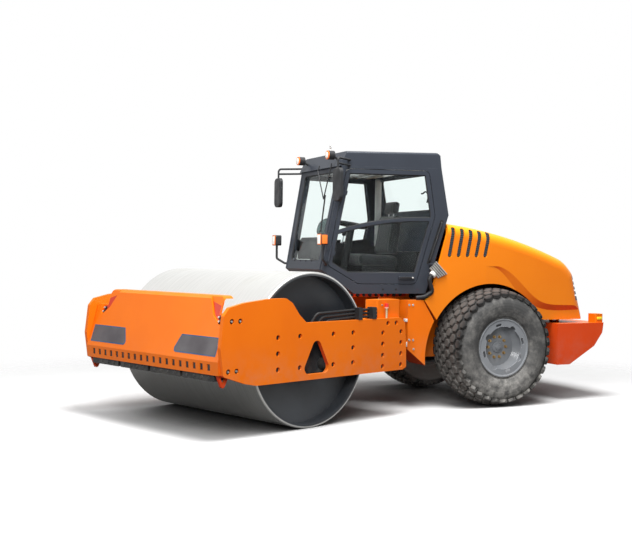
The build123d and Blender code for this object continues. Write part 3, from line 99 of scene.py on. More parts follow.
class Wiring:  # short calls for adding and joining nodes in one tree
    def __init__(self, tree):
        self.tree = tree

    def feed(self, target, value):  # joins a node or an output, or sets a plain value
        if isinstance(value, bpy.types.Node):
            value = value.outputs[0]
        if isinstance(value, bpy.types.NodeSocket):
            self.tree.links.new(value, target)
        else:
            target.default_value = (*value, 1) if target.type == "RGBA" else value

    def add(self, kind, inputs=None, **values):
        node = self.tree.nodes.new(kind)
        for key, value in values.items():
            setattr(node, key, value)
        for key, value in (inputs or {}).items():
            self.feed(node.inputs[key], value)
        return node

    def set(self, node, **sockets):
        for label, value in sockets.items():
            self.feed(node.inputs[label.replace("_", " ")], value)

    def math(self, operation, *values, clamp=False):
        node = self.add("ShaderNodeMath", dict(enumerate(values)), operation=operation, use_clamp=clamp)
        return node.outputs[0]

    def times(self, first, *others, clamp=False):
        for other in others:
            first = self.math("MULTIPLY", first, other, clamp=clamp)
        return first

    def plus(self, first, second, clamp=False):
        return self.math("ADD", first, second, clamp=clamp)

    def minus(self, first, second):
        return self.math("SUBTRACT", first, second)

    def vector(self, operation, *values):
        return self.add("ShaderNodeVectorMath", dict(enumerate(values)), operation=operation).outputs

    def scaled(self, vector, scale):
        return self.add("ShaderNodeVectorMath", {0: vector, "Scale": scale}, operation="SCALE")

    def noise(self, vector, scale, detail=4, roughness=0.55):
        values = {"Vector": vector, "Scale": scale, "Detail": detail, "Roughness": roughness}
        return self.add("ShaderNodeTexNoise", values).outputs["Fac"]

    def ramp(self, value, low, high):
        values = {"Value": value, "From Min": low, "From Max": high}
        return self.add("ShaderNodeMapRange", values, interpolation_type="SMOOTHSTEP").outputs["Result"]

    def mix(self, factor, first, second):
        return self.add("ShaderNodeMix", {0: factor, 6: first, 7: second}, data_type="RGBA").outputs[2]

    def split(self, vector):
        return self.add("ShaderNodeSeparateXYZ", {0: vector}).outputs

    def combine(self, x, y, z):
        return self.add("ShaderNodeCombineXYZ", {0: x, 1: y, 2: z}).outputs[0]

    def merge(self, *parts):
        node = self.add("GeometryNodeJoinGeometry")
        for part in parts:
            self.feed(node.inputs[0], part)
        return node

    def place(self):
        return self.add("ShaderNodeTexCoord").outputs["Object"]

    def normal(self):
        return self.add("ShaderNodeNewGeometry").outputs["Normal"]

    def centred(self, centre, turn=0.0):  # Object coordinates about a centre
        values = {"Location": centre, "Rotation": (0, 0, turn), "Vector": self.place()}
        return self.add("ShaderNodeMapping", values, vector_type="TEXTURE").outputs[0]

    def ring(self, vector):  # distance from an axle along Y
        squares = [self.math("POWER", self.split(vector)[axis], 2) for axis in ("X", "Z")]
        return self.math("SQRT", self.plus(*squares))


def newTree(kind, name, inputs, outputs):  # a number is an input's value, a word is a socket's kind
    tree = bpy.data.node_groups.new(name, kind + "NodeTree")
    for label, value in inputs.items():
        socketKind = {float: "Float", int: "Int"}.get(type(value), value)
        socket = tree.interface.new_socket(label, in_out="INPUT", socket_type="NodeSocket" + socketKind)
        if socketKind != value:
            socket.default_value = value
    for label, socketKind in outputs.items():
        tree.interface.new_socket(label, in_out="OUTPUT", socket_type="NodeSocket" + socketKind)
    wire = Wiring(tree)
    return wire, wire.add("NodeGroupInput").outputs, wire.add("NodeGroupOutput").inputs


def makeEdgeWear():  # worn edges, found where a rounded normal leaves the face's own
    values = {"Radius": 0.008, "Scale": 18.0, "Amount": 0.6}
    wire, enter, leave = newTree("Shader", "edgeWear", values, {"Mask": "Float"})
    bevel = wire.add("ShaderNodeBevel", {"Radius": enter["Radius"]}, samples=4)
    alike = wire.vector("DOT_PRODUCT", bevel, wire.normal())["Value"]
    edge = wire.ramp(wire.minus(1.0, alike), 0.02, 0.25)
    grain = wire.ramp(wire.noise(wire.place(), enter["Scale"], 6, 0.7), 0.42, 0.62)
    wire.feed(leave["Mask"], wire.times(edge, grain, enter["Amount"], clamp=True))
    return wire.tree


def makePaintSkin():  # broad change of tone, the fine peel of sprayed paint, and masks for a painted highlight on faces that look up and painted shade on faces that look down
    results = dict.fromkeys(("Tone", "Peel", "Crown", "Painted Shade"), "Float")
    wire, enter, leave = newTree("Shader", "paintSkin", {"Tone Scale": 1.6, "Peel Scale": 240.0}, results)
    place = wire.place()
    rise = wire.split(wire.normal())["Z"]
    wire.feed(leave["Tone"], wire.noise(place, enter["Tone Scale"], 3))
    wire.feed(leave["Peel"], wire.noise(place, enter["Peel Scale"], 2))
    # Crown marks faces that look up, for a painted highlight; the next mask marks faces that look down, for
    # painted shade
    wire.feed(leave["Crown"], wire.ramp(rise, 0.1, 0.95))
    wire.feed(leave["Painted Shade"], wire.ramp(rise, -0.04, -0.4))
    return wire.tree


def makeDust():  # dust that lies thicker near the ground and on faces that look up
    values = {"Low": 0.1, "High": 1.2, "Scale": 7.0, "Amount": 0.4, "Settled": 0.3}
    wire, enter, leave = newTree("Shader", "dust", values, {"Mask": "Float"})
    place = wire.place()
    height = wire.minus(1.0, wire.ramp(wire.split(place)["Z"], enter["Low"], enter["High"]))
    settled = wire.times(wire.ramp(wire.split(wire.normal())["Z"], 0.5, 1.0), enter["Settled"])
    cloud = wire.ramp(wire.noise(place, enter["Scale"], 6, 0.65), 0.3, 0.75)
    lying = wire.plus(wire.times(height, enter["Amount"]), settled)
    wire.feed(leave["Mask"], wire.times(lying, cloud, clamp=True))
    return wire.tree


edgeWear = makeEdgeWear()
paintSkin = makePaintSkin()
dust = makeDust()
dustColour = (0.34, 0.31, 0.27)


def startMaterial(name, **sockets):
    material = bpy.data.materials.new(name)
    material.use_nodes = True
    wire = Wiring(material.node_tree)
    shader = material.node_tree.nodes["Principled BSDF"]
    wire.set(shader, **sockets)
    return material, wire, shader


def useGroup(wire, group, **values):
    node = wire.add("ShaderNodeGroup", node_tree=group)
    wire.set(node, **values)
    return node.outputs


def bump(wire, shader, height, strength, distance=0.002):
    values = {"Strength": strength, "Distance": distance, "Height": height}
    wire.set(shader, Normal=wire.add("ShaderNodeBump", values))


def paintMaterial(name, colour, shade, worn, rough, coat, wear=0.35, dirt=0.25, paintedHighlight=None, paintedShade=None,
                  paintedArchShade=None):
    # sprayed paint: close tones for the side, a painted highlight on the top and painted shade on the
    # underside, worn edges, dust towards the ground
    material, wire, shader = startMaterial(name, Coat_Weight=coat, Coat_Roughness=0.1,
                                           Specular_IOR_Level=0.12)
    skin = useGroup(wire, paintSkin)
    edge = useGroup(wire, edgeWear, Amount=wear)["Mask"]
    film = useGroup(wire, dust, Low=0.25, High=1.0, Amount=dirt, Settled=0.1)["Mask"]
    tone = wire.mix(wire.ramp(skin["Tone"], 0.35, 0.7), colour, shade)
    # painted highlight on faces that look up
    if paintedHighlight:
        tone = wire.mix(skin["Crown"], tone, paintedHighlight)
    # painted shade on faces that look down
    if paintedShade:
        tone = wire.mix(skin["Painted Shade"], tone, paintedShade)
    if paintedArchShade:  # painted shade: faces that look back towards the wheel are darkened to near black
        tone = wire.mix(wire.ramp(wire.split(wire.normal())["X"], -0.25, -0.55), tone, paintedArchShade)
    wire.set(shader, Base_Color=wire.mix(film, wire.mix(edge, tone, worn), dustColour),
             Roughness=wire.plus(rough, wire.times(film, 0.4), clamp=True))
    bump(wire, shader, skin["Peel"], 0.05)
    return material


def plasticMaterial(name, colour, shade, rough, scale=320, strength=0.12, dirt=0.25):
    # moulded plastic or rubber with a fine grain
    material, wire, shader = startMaterial(name, Specular_IOR_Level=0.25)
    skin = useGroup(wire, paintSkin, Tone_Scale=4.0, Peel_Scale=scale)
    film = useGroup(wire, dust, Amount=dirt, Settled=0.08)["Mask"]
    wire.set(shader, Base_Color=wire.mix(film, wire.mix(skin["Tone"], colour, shade), dustColour),
             Roughness=wire.ramp(skin["Tone"], rough - 0.6, rough + 0.6))
    bump(wire, shader, skin["Peel"], strength)
    return material


def clothMaterial(name, colour, shade, pitch=260):
    # woven cover: two crossing waves of thread over a soft mottle
    material, wire, shader = startMaterial(name, Sheen_Weight=0.25, Sheen_Roughness=0.5)
    axes = wire.split(wire.place())
    warp = wire.math("SINE", wire.times(axes["Y"], pitch * 2 * pi))
    weft = wire.math("SINE", wire.times(wire.plus(axes["X"], axes["Z"]), pitch * 2 * pi))
    weave = wire.plus(wire.times(warp, weft, 0.5), 0.5)
    mottle = wire.noise(wire.place(), 14, 5, 0.65)
    wire.set(shader, Base_Color=wire.mix(wire.times(weave, mottle), colour, shade),
             Roughness=wire.plus(0.75, wire.times(mottle, 0.2)))
    bump(wire, shader, weave, 0.35, 0.001)
    return material


drumLook = {"shellEdge": (0.775, 0.785), "scuffed": (0.5, 0.76), "stretch": (0.9, 26, 0.9),
            "steel": [(0.74, 0.74, 0.72), (0.62, 0.62, 0.6)], "stain": (0.5, 0.49, 0.44),
            "paint": [(0.035, 0.04, 0.047), (0.022, 0.025, 0.03)], "scuff": (0.16, 0.16, 0.16)}


def steelMaterial():
    # rolled steel shell with streaks that run round the drum, dark paint on the heads
    material, wire, shader = startMaterial("rolledSteel")
    turned = wire.centred(drumCentre, drumAngle)
    streak = wire.noise(wire.vector("MULTIPLY", turned, drumLook["stretch"])[0], 2.2, 8, 0.7)
    cloud = wire.noise(turned, 2.0, 5, 0.6)
    radius = wire.ring(turned)
    shell = wire.ramp(radius, *drumLook["shellEdge"])
    bright = wire.mix(wire.ramp(streak, 0.3, 0.75), *drumLook["steel"])
    bright = wire.mix(wire.times(wire.ramp(cloud, 0.5, 0.8), 0.35), bright, drumLook["stain"])
    painted = wire.mix(wire.ramp(cloud, 0.35, 0.7), *drumLook["paint"])
    scuff = wire.times(wire.ramp(radius, *drumLook["scuffed"]), wire.ramp(cloud, 0.45, 0.8))
    painted = wire.mix(wire.times(scuff, 0.45), painted, drumLook["scuff"])
    rough = wire.plus(0.26, wire.times(streak, 0.16))
    wire.set(shader, Base_Color=wire.mix(shell, painted, bright), Metallic=wire.times(shell, 0.9),
             Roughness=wire.plus(rough, wire.times(cloud, 0.12)))
    bump(wire, shader, streak, 0.05, 0.001)
    return material


# the groove radii and the near-black depth colour paint shade between the tread blocks
tyreLook = {"shoulder": (0.56, 0.63), "wallStart": (0.2, 0.27), "grooveShade": (0.64, 0.675), "ringPitch": 190,
            "top": [(0.05, 0.044, 0.04), (0.09, 0.08, 0.072)], "depth": (0.006, 0.006, 0.006),
            "wall": [(0.042, 0.042, 0.042), (0.075, 0.074, 0.072)], "innerPale": (0.75, 0.72, 0.68),
            "dust": [(0.46, 0.44, 0.41), (0.62, 0.6, 0.56)]}


def tyreMaterial(side):
    # dusty rubber: pale sidewalls with moulded rings, dark block tops, painted shade in the grooves
    material, wire, shader = startMaterial("tyreRubber" + side)
    about = wire.centred(Vector(joints[f"wheel_{side.lower()}_roll"]["pos_m"]))
    radius = wire.ring(about)
    across = wire.split(about)["Y"]
    cloud = wire.noise(about, 7, 6, 0.65)
    fine = wire.noise(about, 90, 4, 0.6)
    wall = wire.times(wire.minus(1.0, wire.ramp(radius, *tyreLook["shoulder"])),
                      wire.ramp(wire.math("ABSOLUTE", across), *tyreLook["wallStart"]))
    # painted shade: the carcass below the block tops is darkened to near black
    grooveShade = wire.minus(1.0, wire.ramp(radius, *tyreLook["grooveShade"]))
    base = wire.mix(wire.times(grooveShade, 0.95), wire.mix(cloud, *tyreLook["top"]), tyreLook["depth"])
    base = wire.mix(wall, base, wire.mix(fine, *tyreLook["wall"]))
    dusty = wire.mix(fine, *tyreLook["dust"])
    settled = wire.times(wire.times(wall, 0.3), wire.ramp(cloud, 0.4, 0.75))
    if side == "Right":  # its face towards the machine is made pale grey
        innerPale = wire.times(wall, wire.ramp(across, 0.1, 0.16))
        settled = wire.math("MAXIMUM", settled, innerPale)
        dusty = wire.mix(innerPale, dusty, tyreLook["innerPale"])
    film = useGroup(wire, dust, Low=0.02, High=0.8, Amount=0.95, Settled=0.0, Scale=9)["Mask"]
    wire.set(shader, Base_Color=wire.mix(wire.math("MAXIMUM", settled, film), base, dusty),
             Roughness=wire.plus(0.6, wire.times(fine, 0.3)))
    rings = wire.times(wire.math("SINE", wire.times(radius, tyreLook["ringPitch"])), wall)
    bump(wire, shader, wire.plus(wire.plus(fine, cloud), rings), 0.14, 0.003)
    return material


def glassMaterial(name, tint):
    material, wire, shader = startMaterial(name, IOR=1.14, Transmission_Weight=1.0, Base_Color=tint)
    smear = wire.noise(wire.place(), 3.0, 5, 0.6)
    wire.set(shader, Roughness=wire.times(wire.ramp(smear, 0.5, 0.9), 0.04))
    return material


def lensMaterial(name, colour, glow):
    # moulded lamp lens with fine upright flutes
    material, wire, shader = startMaterial(name, Roughness=0.12, Coat_Weight=0.1, Specular_IOR_Level=0.3,
                                           Emission_Color=colour, Emission_Strength=glow)
    wave = wire.add("ShaderNodeTexWave", {"Scale": 60, "Vector": wire.place()}, wave_type="BANDS")
    flute = wave.outputs["Fac"]
    pale = tuple(min(1, share * 1.35 + 0.03) for share in colour)
    wire.set(shader, Base_Color=wire.mix(flute, colour, pale))
    bump(wire, shader, flute, 0.25)
    return material


def metalMaterial(name, colour, shade, rough):
    material, wire, shader = startMaterial(name, Metallic=1.0)
    skin = useGroup(wire, paintSkin, Tone_Scale=9.0, Peel_Scale=160)
    wire.set(shader, Base_Color=wire.mix(skin["Tone"], colour, shade),
             Roughness=wire.ramp(skin["Tone"], rough - 0.6, rough + 0.9))
    bump(wire, shader, skin["Peel"], 0.06)
    return material


def markerMaterial():
    # pale plated stem below, red and clear lens above
    material, wire, shader = startMaterial("markerLens", Roughness=0.3)
    low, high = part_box("marker_lamp")
    share = wire.ramp(wire.split(wire.place())["Z"], low.z, high.z)
    stem = wire.mix(wire.noise(wire.place(), 60, 3), (0.42, 0.4, 0.22), (0.62, 0.6, 0.4))
    lens = wire.mix(wire.ramp(share, 0.78, 0.88), (0.95, 0.6, 0.45), (0.8, 0.03, 0.02))
    wire.set(shader, Base_Color=wire.mix(wire.ramp(share, 0.68, 0.7), stem, lens))
    return material


orange = ((0.84, 0.172, 0.004), (0.8, 0.157, 0.004), (0.5, 0.12, 0.02))  # side, shade and worn edge
# painted highlight for faces that look up and painted shade for faces that look down
orangePaintedHighlight, orangePaintedShade = (0.84, 0.182, 0.004), (0.74, 0.07, 0.008)
orangePaint = paintMaterial("orangePaint", *orange, 0.4, 0.04, paintedHighlight=orangePaintedHighlight, paintedShade=orangePaintedShade)
# the hood's yellow top colour is a painted highlight
hoodPaint = paintMaterial("hoodPaint", (0.88, 0.225, 0.006), (0.86, 0.21, 0.005), orange[2], 0.3, 0.12,
                          wear=0.15, dirt=0.1, paintedHighlight=(0.95, 0.4, 0.006), paintedShade=orangePaintedShade)
# the near-black colour is painted shade on the faces that look back into the wheel arch
fenderPaint = paintMaterial("fenderPaint", *orange, 0.36, 0.08, paintedHighlight=orangePaintedHighlight, paintedShade=orangePaintedShade,
                            paintedArchShade=(0.03, 0.008, 0.006))
# the red paint's lighter top colour is a painted highlight and its darker underside colour is painted shade
redPaint = paintMaterial("redPaint", (0.77, 0.072, 0.008), (0.72, 0.062, 0.007), (0.42, 0.05, 0.015),
                         0.36, 0.08, paintedHighlight=(0.88, 0.16, 0.008), paintedShade=(0.6, 0.045, 0.008))
# a darker red for the beam's corner pockets, as painted shade in the recesses
pocketShadeRed = paintMaterial("pocketShadeRed", (0.6, 0.035, 0.008), (0.5, 0.028, 0.007), (0.3, 0.04, 0.01), 0.4, 0.2)
cabPaint = paintMaterial("slatePaint", (0.036, 0.042, 0.054), (0.032, 0.037, 0.048), (0.12, 0.13, 0.145),
                         0.4, 0.08, dirt=0.08)
darkPaint = paintMaterial("darkPaint", (0.03, 0.034, 0.04), (0.022, 0.025, 0.029), (0.16, 0.15, 0.14),
                          0.45, 0.1, wear=0.5, dirt=0.4)
rimPaint = paintMaterial("rimPaint", (0.27, 0.285, 0.305), (0.22, 0.232, 0.25), (0.7, 0.71, 0.73), 0.3, 0.3,
                         wear=1.0, dirt=0.2)
axlePaint = paintMaterial("axlePaint", (0.5, 0.5, 0.47), (0.42, 0.42, 0.39), (0.3, 0.28, 0.25), 0.5, 0.1,
                          wear=0.4, dirt=0.5)
castPaint = paintMaterial("castIron", (0.05, 0.052, 0.055), (0.035, 0.036, 0.04), (0.2, 0.19, 0.18), 0.6, 0.0,
                          wear=0.4, dirt=0.3)
blackPlastic = plasticMaterial("blackPlastic", (0.014, 0.015, 0.017), (0.025, 0.026, 0.028), 0.5)
louvrePlastic = plasticMaterial("louvrePlastic", (0.035, 0.05, 0.065), (0.055, 0.07, 0.085), 0.45)
grillePlastic = plasticMaterial("grillePlastic", (0.09, 0.11, 0.14), (0.12, 0.14, 0.17), 0.45)
podPlastic = plasticMaterial("podPlastic", (0.03, 0.06, 0.06), (0.05, 0.085, 0.085), 0.5, dirt=0.0)
hoseRubber = plasticMaterial("hoseRubber", (0.01, 0.01, 0.011), (0.02, 0.02, 0.021), 0.45, scale=500)
seatCloth = clothMaterial("seatCloth", (0.012, 0.013, 0.015), (0.035, 0.037, 0.042))
liningGrey = plasticMaterial("liningGrey", (0.42, 0.42, 0.41), (0.35, 0.35, 0.34), 0.7, dirt=0.0)
stuckSheet = {"rough": 0.5, "scale": 600, "strength": 0.05, "dirt": 0.0}
stripeGrey = plasticMaterial("stripeGrey", (0.09, 0.082, 0.088), (0.085, 0.077, 0.083), **stuckSheet)
stripeBlue = plasticMaterial("stripeBlue", (0.035, 0.085, 0.17), (0.03, 0.078, 0.155), **stuckSheet)
whiteBlock = plasticMaterial("whiteBlock", (0.75, 0.75, 0.72), (0.65, 0.65, 0.62), 0.5)
redKnob = plasticMaterial("redKnob", (0.6, 0.015, 0.012), (0.5, 0.012, 0.01), 0.35, dirt=0.0)
rolledSteel = steelMaterial()
chrome = metalMaterial("chromeRod", (0.75, 0.76, 0.78), (0.6, 0.61, 0.63), 0.15)
zincSteel = metalMaterial("zincSteel", (0.55, 0.54, 0.52), (0.42, 0.41, 0.39), 0.45)
brassNut = metalMaterial("brassNut", (0.5, 0.34, 0.15), (0.36, 0.25, 0.12), 0.4)
mirrorGlass = metalMaterial("mirrorGlass", (0.85, 0.86, 0.87), (0.82, 0.83, 0.84), 0.05)
cabGlass = glassMaterial("cabGlass", (0.93, 0.98, 0.97))
amberLens = lensMaterial("amberLens", (0.85, 0.16, 0.008), 0.06)
yellowLens = lensMaterial("yellowLens", (0.9, 0.62, 0.015), 0.08)
clearLens = lensMaterial("clearLens", (0.75, 0.73, 0.68), 0.05)
tyreRubber = {side: tyreMaterial(side) for side in ("Left", "Right")}
markerLens = markerMaterial()

finishes = {
    orangePaint: ["side_plate_left", "side_plate_right", "front_beam", "cross_member", "rear_frame",
                  "tail_lamps"],
    hoodPaint: ["hood"],
    fenderPaint: ["fender_left", "fender_right"],
    redPaint: ["bumper", "lashing_loops"],
    cabPaint: ["cab_side_left", "door_frame", "cab_side_right", "cab_floor", "cab_front", "cab_rear",
               "cab_roof"],
    darkPaint: ["drum_carriers", "hitch", "cylinder_barrel_left", "cylinder_barrel_right"],
    axlePaint: ["rear_axle"],
    rimPaint: ["rim_left", "rim_right"],
    castPaint: ["engine_block"],
    blackPlastic: ["scrapers", "hose_clamps", "mirrors", "roof_lamps", "signal_lamps", "seat_base",
                   "steering_column", "side_console"],
    louvrePlastic: ["hood_louvres"],
    grillePlastic: ["rear_grille"],
    hoseRubber: ["rubber_buffers", "drum_hoses"],
    seatCloth: ["operator_seat"],
    rolledSteel: ["drum"],
    chrome: ["cylinder_rod_left", "cylinder_rod_right"],
    cabGlass: ["door_glass", "right_glass", "windscreen", "rear_glass"],
    markerLens: ["marker_lamp"],
    tyreRubber["Left"]: ["tyre_left"],
    tyreRubber["Right"]: ["tyre_right"],
}
for material, names in finishes.items():
    for name in names:
        nodes[name].data.materials.clear()
        nodes[name].data.materials.append(material)
print("finishes set:", len(finishes))


# Mesh helpers

def meshFrom(name, bm):
    mesh = bpy.data.meshes.new(name)
    bm.to_mesh(mesh)
    bm.free()
    return mesh


def keepMesh(name, mesh, body, angle=35):  # a finished mesh becomes a piece that rides on its body
    mesh.name = name
    mesh.shade_smooth()
    mesh.set_sharp_from_angle(angle=radians(angle))
    piece = bpy.data.objects.new(name, mesh)
    scene.collection.objects.link(piece)
    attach(piece, body)
    return piece


def keepPiece(name, bm, materials, body=rearBody):
    bmesh.ops.recalc_face_normals(bm, faces=bm.faces)
    mesh = meshFrom(name, bm)
    for material in materials:
        mesh.materials.append(material)
    return keepMesh(name, mesh, body)


def addBlock(bm, centre, size, turn=None, edge=0.004, finish=0):  # block with rounded edges
    place = Matrix.Translation(centre) @ (turn or Matrix.Identity(3)).to_4x4() @ Matrix.Diagonal((*size, 1))
    corners = bmesh.ops.create_cube(bm, size=1, matrix=place)["verts"]
    edges = list(dict.fromkeys(line for corner in corners for line in corner.link_edges))
    made = bmesh.ops.bevel(bm, geom=edges, offset=edge, segments=2, profile=0.5, affect="EDGES")
    for face in {face for corner in made["verts"] for face in corner.link_faces}:
        face.material_index = finish


def addTurned(bm, centre, axis, profile, steps=32, finish=0, scale=1.0):  # profile: radius, height
    axis = axis.normalized()
    side = axis.orthogonal().normalized()
    other = axis.cross(side)
    rings = []
    for radius, height in profile:
        angles = [2 * pi * index / steps for index in range(steps if radius else 1)]
        middle = centre + axis * height
        spokes = [(side * cos(angle) + other * sin(angle)) * (radius * scale) for angle in angles]
        rings.append([bm.verts.new(middle + spoke) for spoke in spokes])
    for low, high in zip(rings, rings[1:]):
        for index in range(steps):
            after = (index + 1) % steps
            spots = ((low, index), (low, after), (high, after), (high, index))
            corners = list(dict.fromkeys(ring[spot % len(ring)] for ring, spot in spots))
            if len(corners) > 2:
                bm.faces.new(corners).material_index = finish


def addSlab(bm, outline, depth):  # flat outline pushed along a vector
    low = [bm.verts.new(point) for point in outline]
    high = [bm.verts.new(point + depth) for point in outline]
    bm.faces.new(low)
    bm.faces.new(high[::-1])
    for index in range(len(low)):
        after = (index + 1) % len(low)
        bm.faces.new((low[index], high[index], high[after], low[after]))


def smoothLine(points, steps):  # soft curve through flat points
    ends = [points[0]] + list(points) + [points[-1]]
    line = []
    for p0, p1, p2, p3 in zip(ends, ends[1:], ends[2:], ends[3:]):
        for step in range(steps):
            t = step / steps
            line.append(tuple(0.5 * (2 * b + (c - a) * t + (2 * a - 5 * b + 4 * c - d) * t ** 2
                                     + (3 * b - a - 3 * c + d) * t ** 3)
                              for a, b, c, d in zip(p0, p1, p2, p3)))
    return line + [tuple(points[-1])]


# Geometry node trees for what repeats or follows a line

def newGrower(name, **inputs):
    sockets = {"Geometry": "Geometry", "Material": "Material", **inputs}
    return newTree("Geometry", name, sockets, {"Geometry": "Geometry"})


def closeTree(wire, geometry, enter, leave):  # realize, paint and put out
    whole = wire.add("GeometryNodeRealizeInstances", {"Geometry": geometry})
    paint = wire.add("GeometryNodeSetMaterial", {"Geometry": whole, "Material": enter["Material"]})
    wire.feed(leave["Geometry"], paint)
    return wire.tree


def growPiece(tree, name, mesh, body, angle, values):  # run a tree on a mesh and keep the plain result
    holder = bpy.data.objects.new(name + "Seed", mesh)
    scene.collection.objects.link(holder)
    modifier = holder.modifiers.new("grow", "NODES")
    modifier.node_group = tree
    for item in tree.interface.items_tree:
        if item.item_type == "SOCKET" and item.in_out == "INPUT" and item.name in values:
            modifier[item.identifier] = values[item.name]
    ready = holder.evaluated_get(bpy.context.evaluated_depsgraph_get())
    grown = bpy.data.meshes.new_from_object(ready)
    bpy.data.objects.remove(holder)
    return keepMesh(name, grown, body, angle)


def makeBarTree():  # round bar along lines, with bent corners
    wire, enter, leave = newGrower("roundBar", Radius=0.01, Sides=10, Bend=0.03)
    line = wire.add("GeometryNodeMeshToCurve", {"Mesh": enter["Geometry"]})
    corner = {"Curve": line, "Radius": enter["Bend"], "Count": 5, "Limit Radius": True}
    bend = wire.add("GeometryNodeFilletCurve", corner, mode="POLY")
    circle = {"Resolution": enter["Sides"], "Radius": enter["Radius"]}
    ring = wire.add("GeometryNodeCurvePrimitiveCircle", circle)
    tube = wire.add("GeometryNodeCurveToMesh", {"Curve": bend, "Profile Curve": ring, "Fill Caps": True})
    return closeTree(wire, tube, enter, leave)


def addCone(wire, sides, low, high, depth):
    return wire.add("GeometryNodeMeshCone", {"Vertices": sides, "Radius Bottom": low, "Radius Top": high,
                                             "Depth": depth})


def makeBoltTree():  # hexagon head on a washer at each point, turned to its facing
    wire, enter, leave = newGrower("boltHeads", headRadius=0.014, headHeight=0.01, washerRadius=0.02,
                                   washerHeight=0.003, Seed=3)
    depth = wire.plus(enter["headHeight"], enter["washerHeight"])
    head = addCone(wire, 6, enter["headRadius"], wire.times(enter["headRadius"], 0.9), depth)
    rim = wire.times(enter["washerRadius"], 0.94)
    washer = addCone(wire, 16, enter["washerRadius"], rim, enter["washerHeight"])
    facing = wire.add("GeometryNodeInputNamedAttribute", {"Name": "facing"}, data_type="FLOAT_VECTOR")
    align = wire.add("FunctionNodeAlignRotationToVector", {"Vector": facing}, axis="Z")
    chance = wire.add("FunctionNodeRandomValue", {"Seed": enter["Seed"], 3: 2 * pi}, data_type="FLOAT")
    angle = wire.combine(0.0, 0.0, chance.outputs[1])  # each head stops at its own angle
    turn = {"Rotation": align, "Rotate By": angle}
    spin = wire.add("FunctionNodeRotateRotation", turn, rotation_space="LOCAL")
    spread = {"Points": enter["Geometry"], "Instance": wire.merge(head, washer), "Rotation": spin}
    dots = wire.add("GeometryNodeInstanceOnPoints", spread)
    return closeTree(wire, dots, enter, leave)


def makeTreadTree():  # staggered rows of six-sided blocks round an axle along Y, added to the carcass
    wire, enter, leave = newGrower("treadBlocks", Rows=7, Blocks=36, Pitch=0.082, Crown=0.7, Fall=0.7,
                                   Height=0.034, Length=0.05, Width=0.06, Seed=7, Axle="Vector")
    index = wire.add("GeometryNodeInputIndex")
    row = wire.math("FLOOR", wire.math("DIVIDE", index, enter["Blocks"]))
    column = wire.minus(index, wire.times(row, enter["Blocks"]))
    middle = wire.math("DIVIDE", wire.minus(enter["Rows"], 1.0), 2.0)
    across = wire.times(wire.minus(row, middle), enter["Pitch"])
    stagger = wire.times(wire.math("MODULO", row, 2.0), 0.5)
    angle = wire.times(wire.math("DIVIDE", wire.plus(column, stagger), enter["Blocks"]), 2 * pi)
    tilt = wire.math("ARCTANGENT", wire.times(across, enter["Fall"], 2.0))
    drop = wire.times(wire.math("POWER", wire.math("ABSOLUTE", across), 2.0), enter["Fall"])
    root = wire.minus(wire.minus(enter["Crown"], drop), enter["Height"])
    radial = wire.combine(wire.math("SINE", angle), 0.0, wire.math("COSINE", angle))
    shift = wire.vector("ADD", wire.scaled(radial, root), wire.combine(0.0, across, 0.0))[0]
    place = wire.vector("ADD", shift, enter["Axle"])[0]
    lean = wire.scaled(radial, wire.math("COSINE", tilt))
    outward = wire.vector("ADD", lean, wire.combine(0.0, wire.math("SINE", tilt), 0.0))[0]
    count = wire.times(enter["Rows"], enter["Blocks"])
    spots = wire.add("GeometryNodePoints", {"Count": count, "Position": place})
    axes = wire.add("FunctionNodeAxesToRotation", {0: outward, 1: (0, 1, 0)}, primary_axis="Z",
                    secondary_axis="X")
    low, high = wire.times(enter["Height"], 0.8), wire.times(enter["Height"], 0.2)
    foot, cap = addCone(wire, 6, 1.06, 0.95, low), addCone(wire, 6, 0.95, 0.8, high)
    lift = wire.add("GeometryNodeTransform", {"Geometry": cap, "Translation": wire.combine(0.0, 0.0, low)})
    chance = wire.add("FunctionNodeRandomValue", {"Seed": enter["Seed"], 2: 0.95, 3: 1.0}, data_type="FLOAT")
    worn = chance.outputs[1]  # blocks differ a little in size
    size = wire.combine(wire.times(enter["Width"], worn), wire.times(enter["Length"], worn), 1.0)
    spread = {"Points": spots, "Instance": wire.merge(foot, lift), "Rotation": axes, "Scale": size}
    dots = wire.add("GeometryNodeInstanceOnPoints", spread)
    return closeTree(wire, wire.merge(enter["Geometry"], dots), enter, leave)


barTree = makeBarTree()
boltTree = makeBoltTree()
treadTree = makeTreadTree()


def bars(name, lines, radius, material, bend=0.0, sides=10, closed=False, body=rearBody):
    mesh = bpy.data.meshes.new(name)
    points, edges = [], []
    for line in lines:
        first = len(points)
        points += line
        edges += [(first + index, first + index + 1) for index in range(len(line) - 1)]
        if closed:
            edges.append((first + len(line) - 1, first))
    mesh.from_pydata(points, edges, [])
    values = {"Radius": radius, "Sides": sides, "Bend": bend, "Material": material}
    return growPiece(barTree, name, mesh, body, 50, values)


def bolts(name, seats, size, material, body=rearBody):  # size: head radius, head height, washer radius
    mesh = bpy.data.meshes.new(name)
    mesh.from_pydata([place for place, _ in seats], [], [])
    facing = mesh.attributes.new("facing", "FLOAT_VECTOR", "POINT")
    for index, (_, normal) in enumerate(seats):
        facing.data[index].vector = normal
    values = dict(zip(("headRadius", "headHeight", "washerRadius"), size), Material=material)
    return growPiece(boltTree, name, mesh, body, 30, values)


